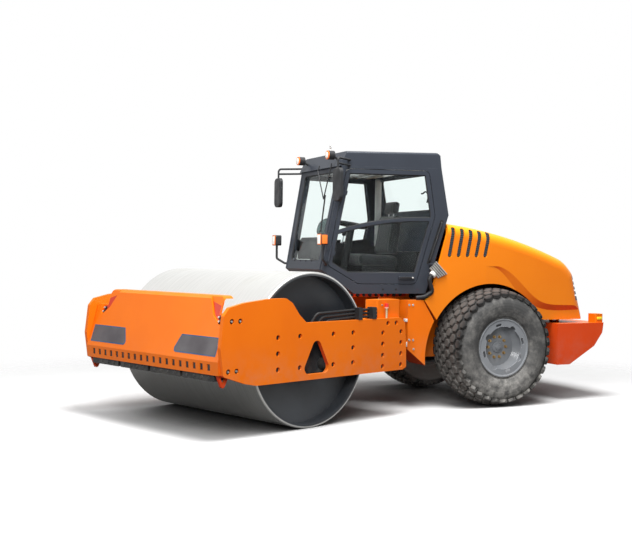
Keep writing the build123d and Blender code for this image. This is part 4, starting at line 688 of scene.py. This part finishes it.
# Tyres: round carcass with staggered six-sided blocks, wheel nuts and hub caps
tread = {"Rows": 7, "Blocks": 34, "Pitch": 0.083, "Crown": 0.699, "Fall": 0.72, "Height": 0.038,
         "Length": 0.057, "Width": 0.044}
tyreSection = [(0.347, 0.249), (0.369, 0.25), (0.377, 0.266), (0.41, 0.284), (0.46, 0.297), (0.52, 0.299),
               (0.575, 0.286), (0.618, 0.25), (0.645, 0.2), (0.66, 0.13), (0.666, 0)]
wheelFace = {"nuts": 10, "nutRing": 0.125, "nut": (0.014, 0.02, 0.02), "start": 0.6, "hub": 0.07,
             "cap": [(0, -0.004), (1, -0.004), (1, 0.014), (0.9, 0.022), (0.55, 0.026), (0.5, 0.04),
                     (0.2, 0.046), (0, 0.046)]}  # shares of the hub radius, heights


def makeWheel(side, out):
    wheel, rim = "wheel_" + side.lower(), "rim_" + side.lower()
    axle = Vector(joints[wheel + "_roll"]["pos_m"])
    half = smoothLine(tyreSection, 5)
    section = half + [(radius, -across) for radius, across in half[-2::-1]]
    bm = bmesh.new()
    addTurned(bm, axle, left, section + section[:1], 96)
    bmesh.ops.remove_doubles(bm, verts=bm.verts, dist=0.0002)
    bmesh.ops.recalc_face_normals(bm, faces=bm.faces)
    values = {**tread, "Axle": axle, "Material": tyreRubber[side]}
    tyre = growPiece(treadTree, "tyre" + side, meshFrom("carcass" + side, bm), wheel, 40, values)
    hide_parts("tyre_" + side.lower())
    seats = []
    for index in range(wheelFace["nuts"]):
        angle = 2 * pi * index / wheelFace["nuts"]
        spoke = Vector((cos(angle), 0, sin(angle))) * wheelFace["nutRing"]
        seats.append(seat(rim, axle + spoke + out * wheelFace["start"], -out))
    bolts("wheelNuts" + side, seats, wheelFace["nut"], brassNut, wheel)
    bm = bmesh.new()
    face = axle + out * (seats[0][0] - axle).dot(out)
    addTurned(bm, face, out, wheelFace["cap"], scale=wheelFace["hub"])
    keepPiece("hubCap" + side, bm, [rimPaint], wheel)


makeWheel("Left", left)
makeWheel("Right", -left)
print("wheels dressed")

# Front frame: stripes on the leaning face, painted-shade sheets in the pockets, bolts and slot fillers
frontBody = "front_frame"
stripe = {"outer": 1.095, "innerTop": 0.5, "innerLow": 0.43, "low": 0.806, "high": 0.983, "edge": 0.015,
          "sheet": 0.0015, "corner": [(0, 0.045), (0.004, 0.014), (0.028, 0)]}
pocket = {"outline": [(0.83, 1.315), (0.912, 1.19), (1.03, 1.108), (1.046, 1.135), (1.046, 1.19),
                      (0.972, 1.195), (0.972, 1.275)],
          "lean": 0.32, "sheet": 0.0012, "bolts": [(1.0, 1.165), (1.015, 1.125)]}


def beamSeat(y, z):
    return seat("front_beam", frontPlace(ahead, y, z), -drumForward)


def onBeam(y, z, lift=0.0):
    place, normal = beamSeat(y, z)
    return place + normal * lift


def makeStripes():
    bm = bmesh.new()
    low, high, inner = stripe["low"], stripe["high"], stripe["innerLow"]
    flat = [(stripe["outer"], low), (stripe["outer"], high), (stripe["innerTop"], high)]
    flat += [(inner + across, low + rise) for across, rise in stripe["corner"]]
    for hand in (1, -1):
        face = bm.faces.new([bm.verts.new(onBeam(hand * y, z, skinLift)) for y, z in flat[::hand]])
        face.normal_update()  # the inset needs it
        for border in bmesh.ops.inset_individual(bm, faces=[face], thickness=stripe["edge"])["faces"]:
            border.material_index = 1
    bmesh.ops.solidify(bm, geom=bm.faces[:], thickness=-stripe["sheet"])
    keepPiece("beamStripes", bm, [stripeGrey, stripeBlue], frontBody)


def makePocketShadeSheets():
    # darker red sheets on the pockets' faces are painted shade in the recesses
    bm = bmesh.new()
    depth = (drumForward + up * pocket["lean"]).normalized() * pocket["sheet"]
    for hand in (1, -1):
        addSlab(bm, [onBeam(hand * y, z, skinLift) for y, z in pocket["outline"]], depth)
    keepPiece("pocketShadeSheets", bm, [pocketShadeRed], frontBody)


plateBolts = {"sunk": [(x, z) for x in (-0.532, 0.532) for z in (0.642, 0.8, 0.958)]
              + [(x, z) for x in (-0.237, 0.237) for z in (0.642, 0.958)]
              + [(x, z) for x in (-1.001, -1.302) for z in (0.568, 0.69, 0.814, 0.934)]
              + [(-1.082, 1.035), (-1.219, 1.035)],
              "nose": [(1.117, 1.138), (1.014, 1.138), (1.156, 0.668), (1.054, 0.668)],
              "post": [(-1.036, 1.233), (-1.101, 1.233)], "tipStand": 0.016}
bladeBolts = {"middles": (-0.8175, -0.2725, 0.2725, 0.8175), "shifts": (-0.17, -0.06, 0.06, 0.17), "z": 0.6}
boltSizes = {"plateScrews": (0.014, 0.006, 0.0245), "noseBolts": (0.019, 0.014, 0.025),
             "pocketBolts": (0.016, 0.014, 0.023), "boltTips": (0.009, 0.008, 0.011),
             "scraperBolts": (0.013, 0.009, 0.019)}


def sideSeats(places, leftNode, rightNode):
    return [seat(node, frontPlace(x, hand * beside, z), -drumLeft * hand)
            for hand, node in ((1, leftNode), (-1, rightNode)) for x, z in places]


def makeFrontBolts():
    plates = ("side_plate_left", "side_plate_right")
    nose = sideSeats(plateBolts["nose"], *plates)
    pockets = [beamSeat(hand * y, z) for hand in (1, -1) for y, z in pocket["bolts"]]
    tips = [(place + normal * plateBolts["tipStand"], normal) for place, normal in nose + pockets]
    tips += sideSeats(plateBolts["post"], "cross_member", "cross_member")
    blades = [seat("scrapers", frontPlace(ahead, middle + shift, bladeBolts["z"]), -drumForward)
              for middle in bladeBolts["middles"] for shift in bladeBolts["shifts"]]
    for name, seats, material, slot in (
            ("plateScrews", sideSeats(plateBolts["sunk"], *plates), hoseRubber, "black_rubber"),
            ("noseBolts", nose, hoseRubber, "black_rubber"),
            ("pocketBolts", pockets, hoseRubber, "black_rubber"),
            ("boltTips", tips, zincSteel, "chrome_rod"),
            ("scraperBolts", blades, darkPaint, "chrome_rod")):
        bolts(name, seats, boltSizes[name], material, frontBody)


toeSlots = {"count": 19, "pitch": 0.112, "size": (0.004, 0.044, 0.06), "middleZ": 0.701, "sink": 0.009,
            "edge": 0.001}


def makeToeFillers():  # dark plates that close the slots along the beam's foot
    bm = bmesh.new()
    half = toeSlots["pitch"] / 2
    for index in range(toeSlots["count"]):
        y = (index - (toeSlots["count"] - 1) / 2) * toeSlots["pitch"]
        land = onBeam(y + half, toeSlots["middleZ"])  # the strip of sheet next to the slot
        middle = land - drumLeft * half - drumForward * toeSlots["sink"]
        addBlock(bm, middle, toeSlots["size"], drumTurn, toeSlots["edge"])
    keepPiece("toeFillers", bm, [hoseRubber], frontBody)


makeStripes()
makePocketShadeSheets()
makeFrontBolts()
makeToeFillers()
print("front frame dressed")

# Rear frame: fender bolts, rivets, stop blocks, fittings under the cab, tail lamp lenses
fenders = ((1, "fender_left"), (-1, "fender_right"))
fenderBolts = {"size": (0.01, 0.007, 0.014), "places": [(-0.438, 1.208), (-0.488, 1.207), (-0.443, 0.803),
                                                        (-0.494, 0.801), (-0.503, 0.695)]}
rivets = {"sideX": (-0.186, -0.34), "sideZ": 1.385, "frontY": (-0.298, -0.112, 0.04, 0.216), "frontZ": 1.705,
          "size": (0.008, 0.004, 0.011)}
stops = {"heights": [(1.029, 0.036), (0.75, 0.056)], "start": 0.5, "y": 0.835, "proud": 0.009, "deep": 0.022,
         "wide": 0.06}  # heights: above the ground, and how tall each block is
deck = {"z": 1.31, "fittings": 9, "frontX": 0.13, "pitch": 0.08, "sizes": (0.016, 0.02), "sides": 12,
        "fitting": [(0, -0.002), (1, -0.002), (1, 0.018), (0.7, 0.022), (0.7, 0.036), (0, 0.036)],
        "stripX": (0.17, -0.6), "stripHalf": 0.017, "sheet": 0.0012}
tailLens = {"side": (0.08, 0.012, 0.034), "back": (0.012, 0.11, 0.07), "y": 0.85, "proud": 0.004,
            "edge": 0.005}
cabStart = 0.5  # how far off the cab the lines start


def makeRearTrim():
    seats = [seat(node, rearPlace(x, hand * beside, z), -left * hand)
             for hand, node in fenders for x, z in fenderBolts["places"]]
    bolts("fenderBolts", seats, fenderBolts["size"], zincSteel)
    seats = [seat("cab_side_left", cabPlace(x, rivets["sideZ"], cabStart), -sideOut) for x in rivets["sideX"]]
    seats += [seat("cab_front", rearPlace(beside, y, rivets["frontZ"]), -forward) for y in rivets["frontY"]]
    bolts("sillRivets", seats, rivets["size"], hoseRubber)
    bm = bmesh.new()
    for hand, node in fenders:
        for z, tall in stops["heights"]:
            face, _ = seat(node, rearPlace(stops["start"], hand * stops["y"], z), -forward)
            addBlock(bm, face + forward * stops["proud"], (stops["deep"], stops["wide"], tall))
    keepPiece("stopBlocks", bm, [whiteBlock])


def onDeck(x):
    return seat("rear_frame", rearPlace(x, beside, deck["z"]), -left)[0]


def makeDeckTrim():
    bm = bmesh.new()
    for index in range(deck["fittings"]):
        edge = onDeck(deck["frontX"] - deck["pitch"] * index)
        addTurned(bm, edge, left, deck["fitting"], deck["sides"], scale=deck["sizes"][index % 2])
    keepPiece("deckFittings", bm, [hoseRubber])
    bm = bmesh.new()
    front, back = (onDeck(x) + left * skinLift for x in deck["stripX"])
    half = up * deck["stripHalf"]
    addSlab(bm, [front + half, front - half, back - half, back + half], left * deck["sheet"])
    keepPiece("deckStrip", bm, [redPaint])


def makeTailLenses():
    bm = bmesh.new()
    low, high = (Vector(corner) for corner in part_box("tail_lamps"))
    middle = (low + high) / 2
    proud, edge = tailLens["proud"], tailLens["edge"]
    for hand in (1, -1):
        lamp, _ = seat("tail_lamps", Vector((middle.x, pivot.y + hand * beside, middle.z)), -left * hand)
        addBlock(bm, lamp + left * hand * proud, tailLens["side"], edge=edge)
        start = Vector((middle.x - 1, pivot.y + hand * tailLens["y"], middle.z))
        lamp, _ = seat("tail_lamps", start, forward)
        addBlock(bm, lamp - forward * proud, tailLens["back"], edge=edge)
    keepPiece("tailLenses", bm, [yellowLens])


louvre = {"slots": 5, "frontX": -0.936, "footZ": 1.775, "headZ": 2.108, "fall": 0.012, "pitch": 0.124,
          "wide": 0.058, "lean": -0.066, "rungs": 13, "sink": 0.012, "play": 0.006, "deep": 0.024,
          "fill": 0.8, "edge": 0.003}


def makeLouvreInserts():  # ribbed inserts just under the hood's skin
    bm = bmesh.new()
    for hand in (1, -1):
        for slot in range(louvre["slots"]):
            tall = louvre["headZ"] - louvre["fall"] * slot - louvre["footZ"]
            rib = (louvre["wide"] - louvre["play"], louvre["deep"], tall / louvre["rungs"] * louvre["fill"])
            for rung in range(louvre["rungs"]):
                share = (rung + 0.5) / louvre["rungs"]
                x = louvre["frontX"] - louvre["wide"] / 2 - slot * louvre["pitch"] + louvre["lean"] * share
                z = louvre["footZ"] + share * tall
                land = x + louvre["pitch"] * (0.5 if slot else -0.5)  # the strip of skin next to the slot
                found, skin, _, _ = nodes["hood"].ray_cast(rearPlace(land, hand * beside, z), -left * hand)
                if found:
                    y = skin.y - hand * (louvre["sink"] + louvre["deep"] / 2)
                    addBlock(bm, Vector((pivot.x + x, y, z)), rib, edge=louvre["edge"])
    keepPiece("louvreInserts", bm, [louvrePlastic], "hood")


duct = {"plane": 0.897, "top": (-0.765, 1.71), "foot": (-0.915, 1.565), "pleats": 5, "step": 0.026,
        "rib": 0.012, "shrink": 0.06, "clampStand": 0.03, "bracket": (-0.745, 1.675),
        "bracketSize": (0.05, 0.03), "bracketOver": 0.01,
        "clamp": [(0, -0.025), (0.042, -0.025), (0.042, 0.01), (0.034, 0.016), (0, 0.016)], "clampSides": 20,
        "neck": 0.07, "pipe": [(-0.73, 0.895, 1.36), (-0.64, 0.87, 1.3), (-0.54, 0.845, 1.285)],
        "pipeRadius": 0.026, "pipeBend": 0.04}


def makeAirDuct():  # pleated joint on a bracket of the cab, clamp, and the pipe down to the fender
    run = Vector((duct["foot"][0] - duct["top"][0], 0, duct["foot"][1] - duct["top"][1]))
    across = Vector((-run.z, 0, run.x)).normalized()
    top = rearPlace(duct["top"][0], duct["plane"], duct["top"][1])
    lines = []
    for pleat in range(duct["pleats"]):
        start = top + across * duct["step"] * pleat
        lines.append([start, start + run * (1 - duct["shrink"] * pleat)])
    bars("airBellows", lines, duct["rib"], zincSteel)
    foot = (lines[-1][0] + lines[-1][1]) / 2 + across * duct["clampStand"]
    bm = bmesh.new()
    addTurned(bm, foot, across, duct["clamp"], duct["clampSides"])
    side = cabPlace(*duct["bracket"])
    long, tall = duct["bracketSize"]
    middle = Vector((side.x, (side.y + foot.y) / 2, side.z))
    addBlock(bm, middle, (long, foot.y - side.y + duct["bracketOver"], tall), finish=1)
    keepPiece("ductClamp", bm, [whiteBlock, cabPaint])
    pipe = [foot, foot + across * duct["neck"]] + [rearPlace(*place) for place in duct["pipe"]]
    bars("airPipe", [pipe], duct["pipeRadius"], hoseRubber, duct["pipeBend"])


makeRearTrim()
makeDeckTrim()
makeTailLenses()
makeLouvreInserts()
makeAirDuct()
print("rear frame dressed")

# Cab: seals, wipers, handle, rails, lamps and mirrors
seal = {"radius": 0.011, "proud": 0.003, "sides": 8, "cabMiddle": (-0.15, 0, 2.2), "weld": 0.0005,
        "flatAngle": 2, "leastShare": 0.2, "leastFacing": 0.02}


def paneOutlines(node):  # closed outlines of the panes in a glass node, on their outer faces
    bm = bmesh.new()
    bm.from_mesh(nodes[node].data)
    bmesh.ops.remove_doubles(bm, verts=bm.verts, dist=seal["weld"])
    bmesh.ops.dissolve_limit(bm, angle_limit=radians(seal["flatAngle"]), verts=bm.verts, edges=bm.edges)
    least = seal["leastShare"] * max(face.calc_area() for face in bm.faces)
    outward = sum((v.co for v in bm.verts), Vector()) / len(bm.verts) - rearPlace(*seal["cabMiddle"])
    outlines = []
    for face in bm.faces:
        if face.calc_area() > least and face.normal.dot(outward) > seal["leastFacing"]:
            outlines.append([vert.co + face.normal * seal["proud"] for vert in face.verts])
    bm.free()
    return outlines


for node, body in (("door_glass", "door"), ("windscreen", rearBody), ("right_glass", rearBody),
                   ("rear_glass", rearBody)):
    bars(node.split("_")[0] + "Seal", paneOutlines(node), seal["radius"], hoseRubber,
         sides=seal["sides"], closed=True, body=body)

wiper = {"rod": 0.007, "bend": 0.02, "blade": 0.009, "bladeSides": 8, "elbow": (0.31, 2.42, 0.035),
         "arms": [[(0.05, 2.83, 0.05), (0.05, 2.76, 0.06)], [(0.39, 2.83, 0.05), (0.39, 2.72, 0.055)]],
         "bladeEnds": [(0.306, 2.47, 0.02), (0.352, 2.04, 0.014)]}


def makeWipers():
    arms = [[screenPlace(*spot) for spot in (*arm, wiper["elbow"])] for arm in wiper["arms"]]
    bars("wiperArms", arms, wiper["rod"], blackPlastic, wiper["bend"])
    blade = [screenPlace(*spot) for spot in wiper["bladeEnds"]]
    bars("wiperBlade", [blade], wiper["blade"], hoseRubber, sides=wiper["bladeSides"])


door = {"handle": (-0.459, 1.519), "size": (0.165, 0.004, 0.02), "edge": 0.0015, "proud": 0.001,
        "lockBack": 0.07, "lockSides": 16,
        "lock": [(0, 0.001), (0.011, 0.001), (0.011, 0.007), (0.008, 0.009), (0, 0.009)],
        "hook": [(-0.64, 2.505, -0.034), (-0.662, 2.505, -0.06), (-0.7, 2.54, -0.06), (-0.735, 2.49, -0.06),
                 (-0.715, 2.4, -0.06)], "hookRod": 0.009, "hookBend": 0.02}


def makeDoorFittings():
    bm = bmesh.new()
    boss, _ = seat("door_frame", cabPlace(*door["handle"], cabStart), -sideOut)
    addBlock(bm, boss + sideOut * door["proud"], door["size"], sideTurn, door["edge"])
    addTurned(bm, boss - sideForward * door["lockBack"], sideOut, door["lock"], door["lockSides"], 1)
    keepPiece("doorHandle", bm, [hoseRubber, zincSteel], "door")
    hook = [cabPlace(*spot) for spot in door["hook"]]
    bars("doorLatch", [hook], door["hookRod"], blackPlastic, door["hookBend"], body="door")


grabRail = {"top": (-0.872, 2.17), "foot": (-0.726, 1.71), "rod": 0.009, "bend": 0.02, "stand": 0.03,
            "sink": -0.002, "seatHalf": 0.019, "seatOver": 0.03, "sheet": 0.0015}


def makeGrabRail():
    top, foot, stand, sink = (grabRail[key] for key in ("top", "foot", "stand", "sink"))
    rail = [cabPlace(*top, sink), cabPlace(*top, stand), cabPlace(*foot, stand), cabPlace(*foot, sink)]
    bars("grabRail", [rail], grabRail["rod"], blackPlastic, grabRail["bend"])
    run = (cabPlace(*top) - cabPlace(*foot)).normalized()
    across = run.cross(sideOut) * grabRail["seatHalf"]
    high = cabPlace(*top, skinLift) + run * grabRail["seatOver"]
    low = cabPlace(*foot, skinLift) - run * grabRail["seatOver"]
    bm = bmesh.new()
    addSlab(bm, [high - across, high + across, low + across, low - across], sideOut * grabRail["sheet"])
    keepPiece("grabRailSeat", bm, [hoseRubber])


lamps = {"roof": (0.43, 2.93), "ring": [(0.03, 0), (0.051, 0), (0.051, 0.01), (0.043, 0.013), (0.03, 0.013)],
         "bulb": [(0, 0.001), (0.043, 0.001), (0.041, 0.011), (0.03, 0.018), (0.014, 0.022), (0, 0.022)],
         "signal": (0.69, 1.95), "signalX": 0.59, "amber": (0.01, 0.1, 0.12), "amberProud": 0.002,
         "clear": (0.008, 0.068, 0.1), "clearProud": 0.008, "clearEdge": 0.003,
         "side": (0.064, 0.012, 0.1), "sideProud": 0.003, "sideEdge": 0.005}
lifting = {"place": (0.385, 0.43), "eyeZ": 3.022, "eye": 0.018, "eyeRod": 0.005, "eyeSides": 8, "spots": 12,
           "stemZ": (2.975, 3.006), "stemRod": 0.007}


def makeLamps():
    bm = bmesh.new()
    for hand in (1, -1):
        face, _ = seat("roof_lamps", rearPlace(beside, hand * lamps["roof"][0], lamps["roof"][1]), -forward)
        addTurned(bm, face, forward, lamps["ring"], finish=1)
        addTurned(bm, face, forward, lamps["bulb"])
        y, z = lamps["signal"]
        front, _ = seat("signal_lamps", rearPlace(beside, hand * y, z), -forward)
        addBlock(bm, front + forward * lamps["amberProud"], lamps["amber"], finish=1)
        addBlock(bm, front + forward * lamps["clearProud"], lamps["clear"], edge=lamps["clearEdge"])
        outer, _ = seat("signal_lamps", rearPlace(lamps["signalX"], hand * beside, z), -left * hand)
        middle = outer + left * hand * lamps["sideProud"]
        addBlock(bm, middle, lamps["side"], edge=lamps["sideEdge"], finish=1)
    keepPiece("lampLenses", bm, [clearLens, amberLens])
    angles = [2 * pi * index / lifting["spots"] for index in range(lifting["spots"])]
    eye = rearPlace(*lifting["place"], lifting["eyeZ"])
    ring = [eye + Vector((0, cos(angle), sin(angle))) * lifting["eye"] for angle in angles]
    bars("liftingRing", [ring], lifting["eyeRod"], zincSteel, sides=lifting["eyeSides"],
         closed=True)
    stem = [rearPlace(*lifting["place"], z) for z in lifting["stemZ"]]
    bars("liftingStem", [stem], lifting["stemRod"], zincSteel)


mirror = {"y": 0.88, "z": 2.56, "sink": 0.001, "size": (0.005, 0.15, 0.32), "edge": 0.002}


def makeMirrorGlass():
    bm = bmesh.new()
    for hand in (1, -1):
        back, _ = seat("mirrors", rearPlace(0, hand * mirror["y"], mirror["z"]), forward)
        addBlock(bm, back - forward * mirror["sink"], mirror["size"], edge=mirror["edge"])
    keepPiece("mirrorPanes", bm, [mirrorGlass])


makeWipers()
makeDoorFittings()
makeGrabRail()
makeLamps()
makeMirrorGlass()
print("cab outside dressed")

# Cab inside: lining, roll-over post, dark trim, controls and the padded seat
lining = {"margin": 0.075, "z": 2.77, "deep": 0.026, "ends": (0.22, -0.7), "panelX": (-0.1, -0.45),
          "panelDrop": 0.008, "panel": (0.2, 0.7, 0.022), "panelEdge": 0.008, "post": (-0.8, -0.62),
          "postSize": (0.075, 0.06), "postEdge": 0.012}


def cabHalf(x):  # free half width inside the cab at a place along it
    return cab["frontHalf"] + (cab["frontX"] - x) * tan(cabTaper) - lining["margin"]


def makeLining():
    bm = bmesh.new()
    front, back = lining["ends"]
    wide, narrow = cabHalf(back), cabHalf(front)
    corners = [(front, narrow), (back, wide), (back, -wide), (front, -narrow)]
    addSlab(bm, [rearPlace(*corner, lining["z"]) for corner in corners], up * lining["deep"])
    for x in lining["panelX"]:
        middle = rearPlace(x, 0, lining["z"] - lining["panelDrop"])
        addBlock(bm, middle, lining["panel"], edge=lining["panelEdge"])
    height = lining["z"] - cab["floorZ"]
    middle = rearPlace(*lining["post"], cab["floorZ"] + height / 2)
    addBlock(bm, middle, (*lining["postSize"], height), edge=lining["postEdge"])
    keepPiece("cabLining", bm, [liningGrey])


trim = {"footZ": 1.41, "panels": [(0.2, -0.26), (-0.28, -0.74)], "headZ": (1.93, 1.96), "fall": 0.05,
        "thick": 0.02, "dashHalf": 0.42,
        "dash": [(0.29, 1.72), (0.42, 1.72), (0.405, 1.93), (0.36, 1.985), (0.28, 1.97)],
        "rear": (-0.72, 0, 1.62), "rearSize": (0.1, 1.2, 0.42), "rearEdge": 0.03}


def makeDarkTrim():
    bm = bmesh.new()
    for front, back in trim["panels"]:
        frontZ, backZ = (z - trim["fall"] * x for z, x in zip(trim["headZ"], (front, back)))
        corners = [(front, trim["footZ"]), (front, frontZ), (back, backZ), (back, trim["footZ"])]
        addSlab(bm, [rearPlace(x, -cabHalf(x), z) for x, z in corners], left * trim["thick"])
    half = trim["dashHalf"]
    addSlab(bm, [rearPlace(x, half, z) for x, z in trim["dash"]], -left * 2 * half)
    addBlock(bm, rearPlace(*trim["rear"]), trim["rearSize"], edge=trim["rearEdge"])
    keepPiece("darkTrim", bm, [blackPlastic])


pod = {"place": (0.27, 0.16, 2.07), "lean": 0.35, "sides": 24,
       "shell": [(0, -0.02), (0.11, -0.02), (0.13, 0.02), (0.125, 0.07), (0.09, 0.11), (0.04, 0.13),
                 (0, 0.132)],
       "dial": [(0, 0.018), (0.1, 0.018), (0.1, 0.024), (0.085, 0.026), (0, 0.026)]}
lever = {"places": [(-0.1, -0.42, 0.03), (-0.2, -0.38, -0.02), (-0.2, -0.46, -0.02)], "rod": 0.008,
         "bend": 0.02, "rise": [(0, 1.88), (1, 1.97), (1.6, 2.03)], "knobSides": 16,
         "knob": [(0, -0.012), (0.016, -0.01), (0.026, 0.006), (0.024, 0.026), (0.012, 0.038), (0, 0.04)]}


def makeControls():
    bm = bmesh.new()
    place = rearPlace(*pod["place"])
    lean = (forward + up * pod["lean"]).normalized()
    addTurned(bm, place, lean, pod["shell"], pod["sides"])
    addTurned(bm, place, -lean, pod["dial"], pod["sides"], 1)
    keepPiece("instrumentPod", bm, [podPlastic, blackPlastic])
    levers = [[rearPlace(x + share * tip, y, z) for share, z in lever["rise"]]
              for x, y, tip in lever["places"]]
    bars("consoleLevers", levers, lever["rod"], chrome, lever["bend"])
    bm = bmesh.new()
    for index, line in enumerate(levers):
        addTurned(bm, line[-1], up, lever["knob"], lever["knobSides"], min(index, 1))  # the first is red
    keepPiece("leverKnobs", bm, [redKnob, blackPlastic])


cushions = {
    "seatCushion": {"centre": (-0.375, 0, 1.715), "size": (0.53, 0.49, 0.11), "lean": -3, "cap": 0.016},
    "backCushion": {"centre": (-0.62, 0, 2.03), "size": (0.1, 0.47, 0.5), "lean": -9, "cap": 0.016},
    "headCushion": {"centre": (-0.668, 0, 2.365), "size": (0.085, 0.27, 0.15), "lean": -9, "cap": 0.01},
}
padding = {"edge": 0.03, "voxel": 0.009, "frames": 20, "pressure": 4, "quality": 4, "seams": (-0.3, 0.3),
           "seamHalf": 0.014, "seamDeep": 0.006}
stay = {"foot": (-0.655, 2.25), "head": (-0.664, 2.32), "y": (-0.06, 0.06), "rod": 0.007}


def frozen(piece):  # the mesh that the modifiers leave
    mesh = bpy.data.meshes.new_from_object(piece.evaluated_get(bpy.context.evaluated_depsgraph_get()))
    piece.modifiers.clear()
    return mesh


def swell(pad, cap):  # pressed cloth, held to a largest move
    rest = [vert.co.copy() for vert in pad.data.vertices]
    cloth = pad.modifiers.new("cloth", "CLOTH")
    cloth.settings.use_pressure = True
    cloth.settings.uniform_pressure_force = padding["pressure"]
    cloth.settings.effector_weights.gravity = 0
    cloth.settings.quality = padding["quality"]
    cloth.point_cache.frame_start = 1
    cloth.point_cache.frame_end = padding["frames"]
    for step in range(1, padding["frames"] + 1):
        scene.frame_set(step)
    pad.data = frozen(pad)
    scene.frame_set(1)
    for vert, start in zip(pad.data.vertices, rest):
        move = vert.co - start
        if move.length > cap:
            vert.co = start + move.normalized() * cap


def pressSeams(pad, centre, wide, turn):  # sewn channels pressed across the widest face
    for vert in pad.data.vertices:
        local = turn.transposed() @ (vert.co - centre)
        inward = (turn @ Vector((local.x, 0, local.z))).normalized()
        for seam in padding["seams"]:
            gap = abs(local.y / wide - seam) * wide
            if gap < padding["seamHalf"]:
                vert.co -= inward * padding["seamDeep"] * (1 - gap / padding["seamHalf"])


def makeCushion(name, shape):
    turn = Matrix.Rotation(radians(shape["lean"]), 3, "Y")
    centre = rearPlace(*shape["centre"])
    bm = bmesh.new()
    addBlock(bm, centre, shape["size"], turn, padding["edge"])
    pad = bpy.data.objects.new(name, meshFrom(name, bm))
    scene.collection.objects.link(pad)
    grid = pad.modifiers.new("grid", "REMESH")
    grid.mode = "VOXEL"
    grid.voxel_size = padding["voxel"]
    pad.data = frozen(pad)
    swell(pad, shape["cap"])
    pressSeams(pad, centre, shape["size"][1], turn)
    soft = pad.modifiers.new("soft", "SUBSURF")
    soft.levels = soft.render_levels = 1
    pad.data.materials.clear()
    pad.data.materials.append(seatCloth)
    pad.data.shade_smooth()
    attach(pad, rearBody)
    return pad


def makeSeat():
    pads = [makeCushion(name, shape) for name, shape in cushions.items()]
    for pad in pads:
        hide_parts("operator_seat")
    stays = [[rearPlace(x, y, z) for x, z in (stay["foot"], stay["head"])] for y in stay["y"]]
    bars("headrestStays", stays, stay["rod"], chrome)


makeLining()
makeDarkTrim()
makeControls()
makeSeat()
print("cab inside dressed")

# Floor, light and camera
studio = {"floorRadius": 9.0, "fade": (3.6, 7.2), "floorTone": 0.86, "toneSpread": 0.03, "bounceTone": 0.12,
          "world": 0.17, "paintedShadowReach": 1.3, "paintedShadowFade": (0.05, 0.8), "paintedShadowTone": 0.05,
          "aim": (0, 0, 1),
          "lights": [((0.5, 2.5, 9.5), 4.5, 1400), ((5.5, 8.5, 5.5), 4.0, 740), ((9.0, -1.5, 4.0), 4.0, 150)]}


def grey(tone):
    return (tone, tone, tone)


def buildWorld():  # white to the eye and in reflections, dim as a light
    world = bpy.data.worlds.new("studio")
    scene.world = world
    world.use_nodes = True
    wire = Wiring(world.node_tree)
    rays = wire.add("ShaderNodeLightPath").outputs
    bright = wire.math("MAXIMUM", rays["Is Glossy Ray"], rays["Is Transmission Ray"])
    seen = wire.math("MAXIMUM", rays["Is Camera Ray"], bright)
    strength = wire.plus(wire.times(seen, 1.0 - studio["world"]), studio["world"])
    wire.set(world.node_tree.nodes["Background"], Color=grey(1), Strength=strength)


def buildFloor():  # pale disc that fades out, with a painted shadow where the machine stands on it
    bpy.ops.mesh.primitive_circle_add(vertices=96, radius=studio["floorRadius"], fill_type="NGON")
    floor = bpy.context.object
    floor.name = "studioFloor"
    material, wire, shader = startMaterial("paleFloor", Roughness=0.8, Specular_IOR_Level=0.15)
    tone = studio["floorTone"]
    pale = wire.mix(wire.noise(wire.place(), 1.2, 3), grey(tone), grey(tone + studio["toneSpread"]))
    # painted shadow: the floor's colour darkens near the machine by ambient occlusion
    paintedShadowAO = wire.add("ShaderNodeAmbientOcclusion", {"Distance": studio["paintedShadowReach"]}, samples=8)
    clear = wire.ramp(paintedShadowAO.outputs["AO"], *studio["paintedShadowFade"])
    pale = wire.mix(clear, grey(studio["paintedShadowTone"]), pale)
    seen = wire.add("ShaderNodeLightPath").outputs["Is Camera Ray"]
    wire.set(shader, Base_Color=wire.mix(seen, grey(studio["bounceTone"]), pale))
    fade = wire.ramp(wire.vector("LENGTH", wire.place())["Value"], *studio["fade"])
    blend = wire.add("ShaderNodeMixShader", {0: fade, 1: shader, 2: wire.add("ShaderNodeBsdfTransparent")})
    wire.set(material.node_tree.nodes["Material Output"], Surface=blend)
    floor.data.materials.append(material)


def buildLights():
    for index, (place, size, power) in enumerate(studio["lights"]):
        lamp = bpy.data.lights.new(f"softbox{index}", "AREA")
        lamp.size = size
        lamp.energy = power
        holder = bpy.data.objects.new(f"softbox{index}", lamp)
        holder.location = place
        holder.rotation_euler = (Vector(studio["aim"]) - Vector(place)).to_track_quat("-Z", "Y").to_euler()
        scene.collection.objects.link(holder)
    scene.view_settings.view_transform = "Standard"


photoView = {"place": (5.2399, 10.2101, 1.7723), "azimuth": 155.774, "elevation": 1.175, "roll": 0.66,
             "lens": 55.53, "sensor": 36, "reach": 200}


def buildCamera():
    azimuth, elevation, roll = (radians(photoView[key]) for key in ("azimuth", "elevation", "roll"))
    back = Vector((sin(azimuth) * cos(elevation), -cos(azimuth) * cos(elevation), sin(elevation)))
    right = up.cross(back).normalized()
    rise = back.cross(right)
    turnedRight = right * cos(roll) + rise * sin(roll)
    turnedUp = rise * cos(roll) - right * sin(roll)
    data = bpy.data.cameras.new("photoCamera")
    data.lens = photoView["lens"]
    data.sensor_width = photoView["sensor"]
    data.clip_end = photoView["reach"]
    camera = bpy.data.objects.new("photoCamera", data)
    camera.matrix_world = Matrix((turnedRight, turnedUp, back)).transposed().to_4x4()
    camera.location = photoView["place"]
    scene.collection.objects.link(camera)
    scene.camera = camera


buildWorld()
buildFloor()
buildLights()
buildCamera()
print("studio and camera ready")
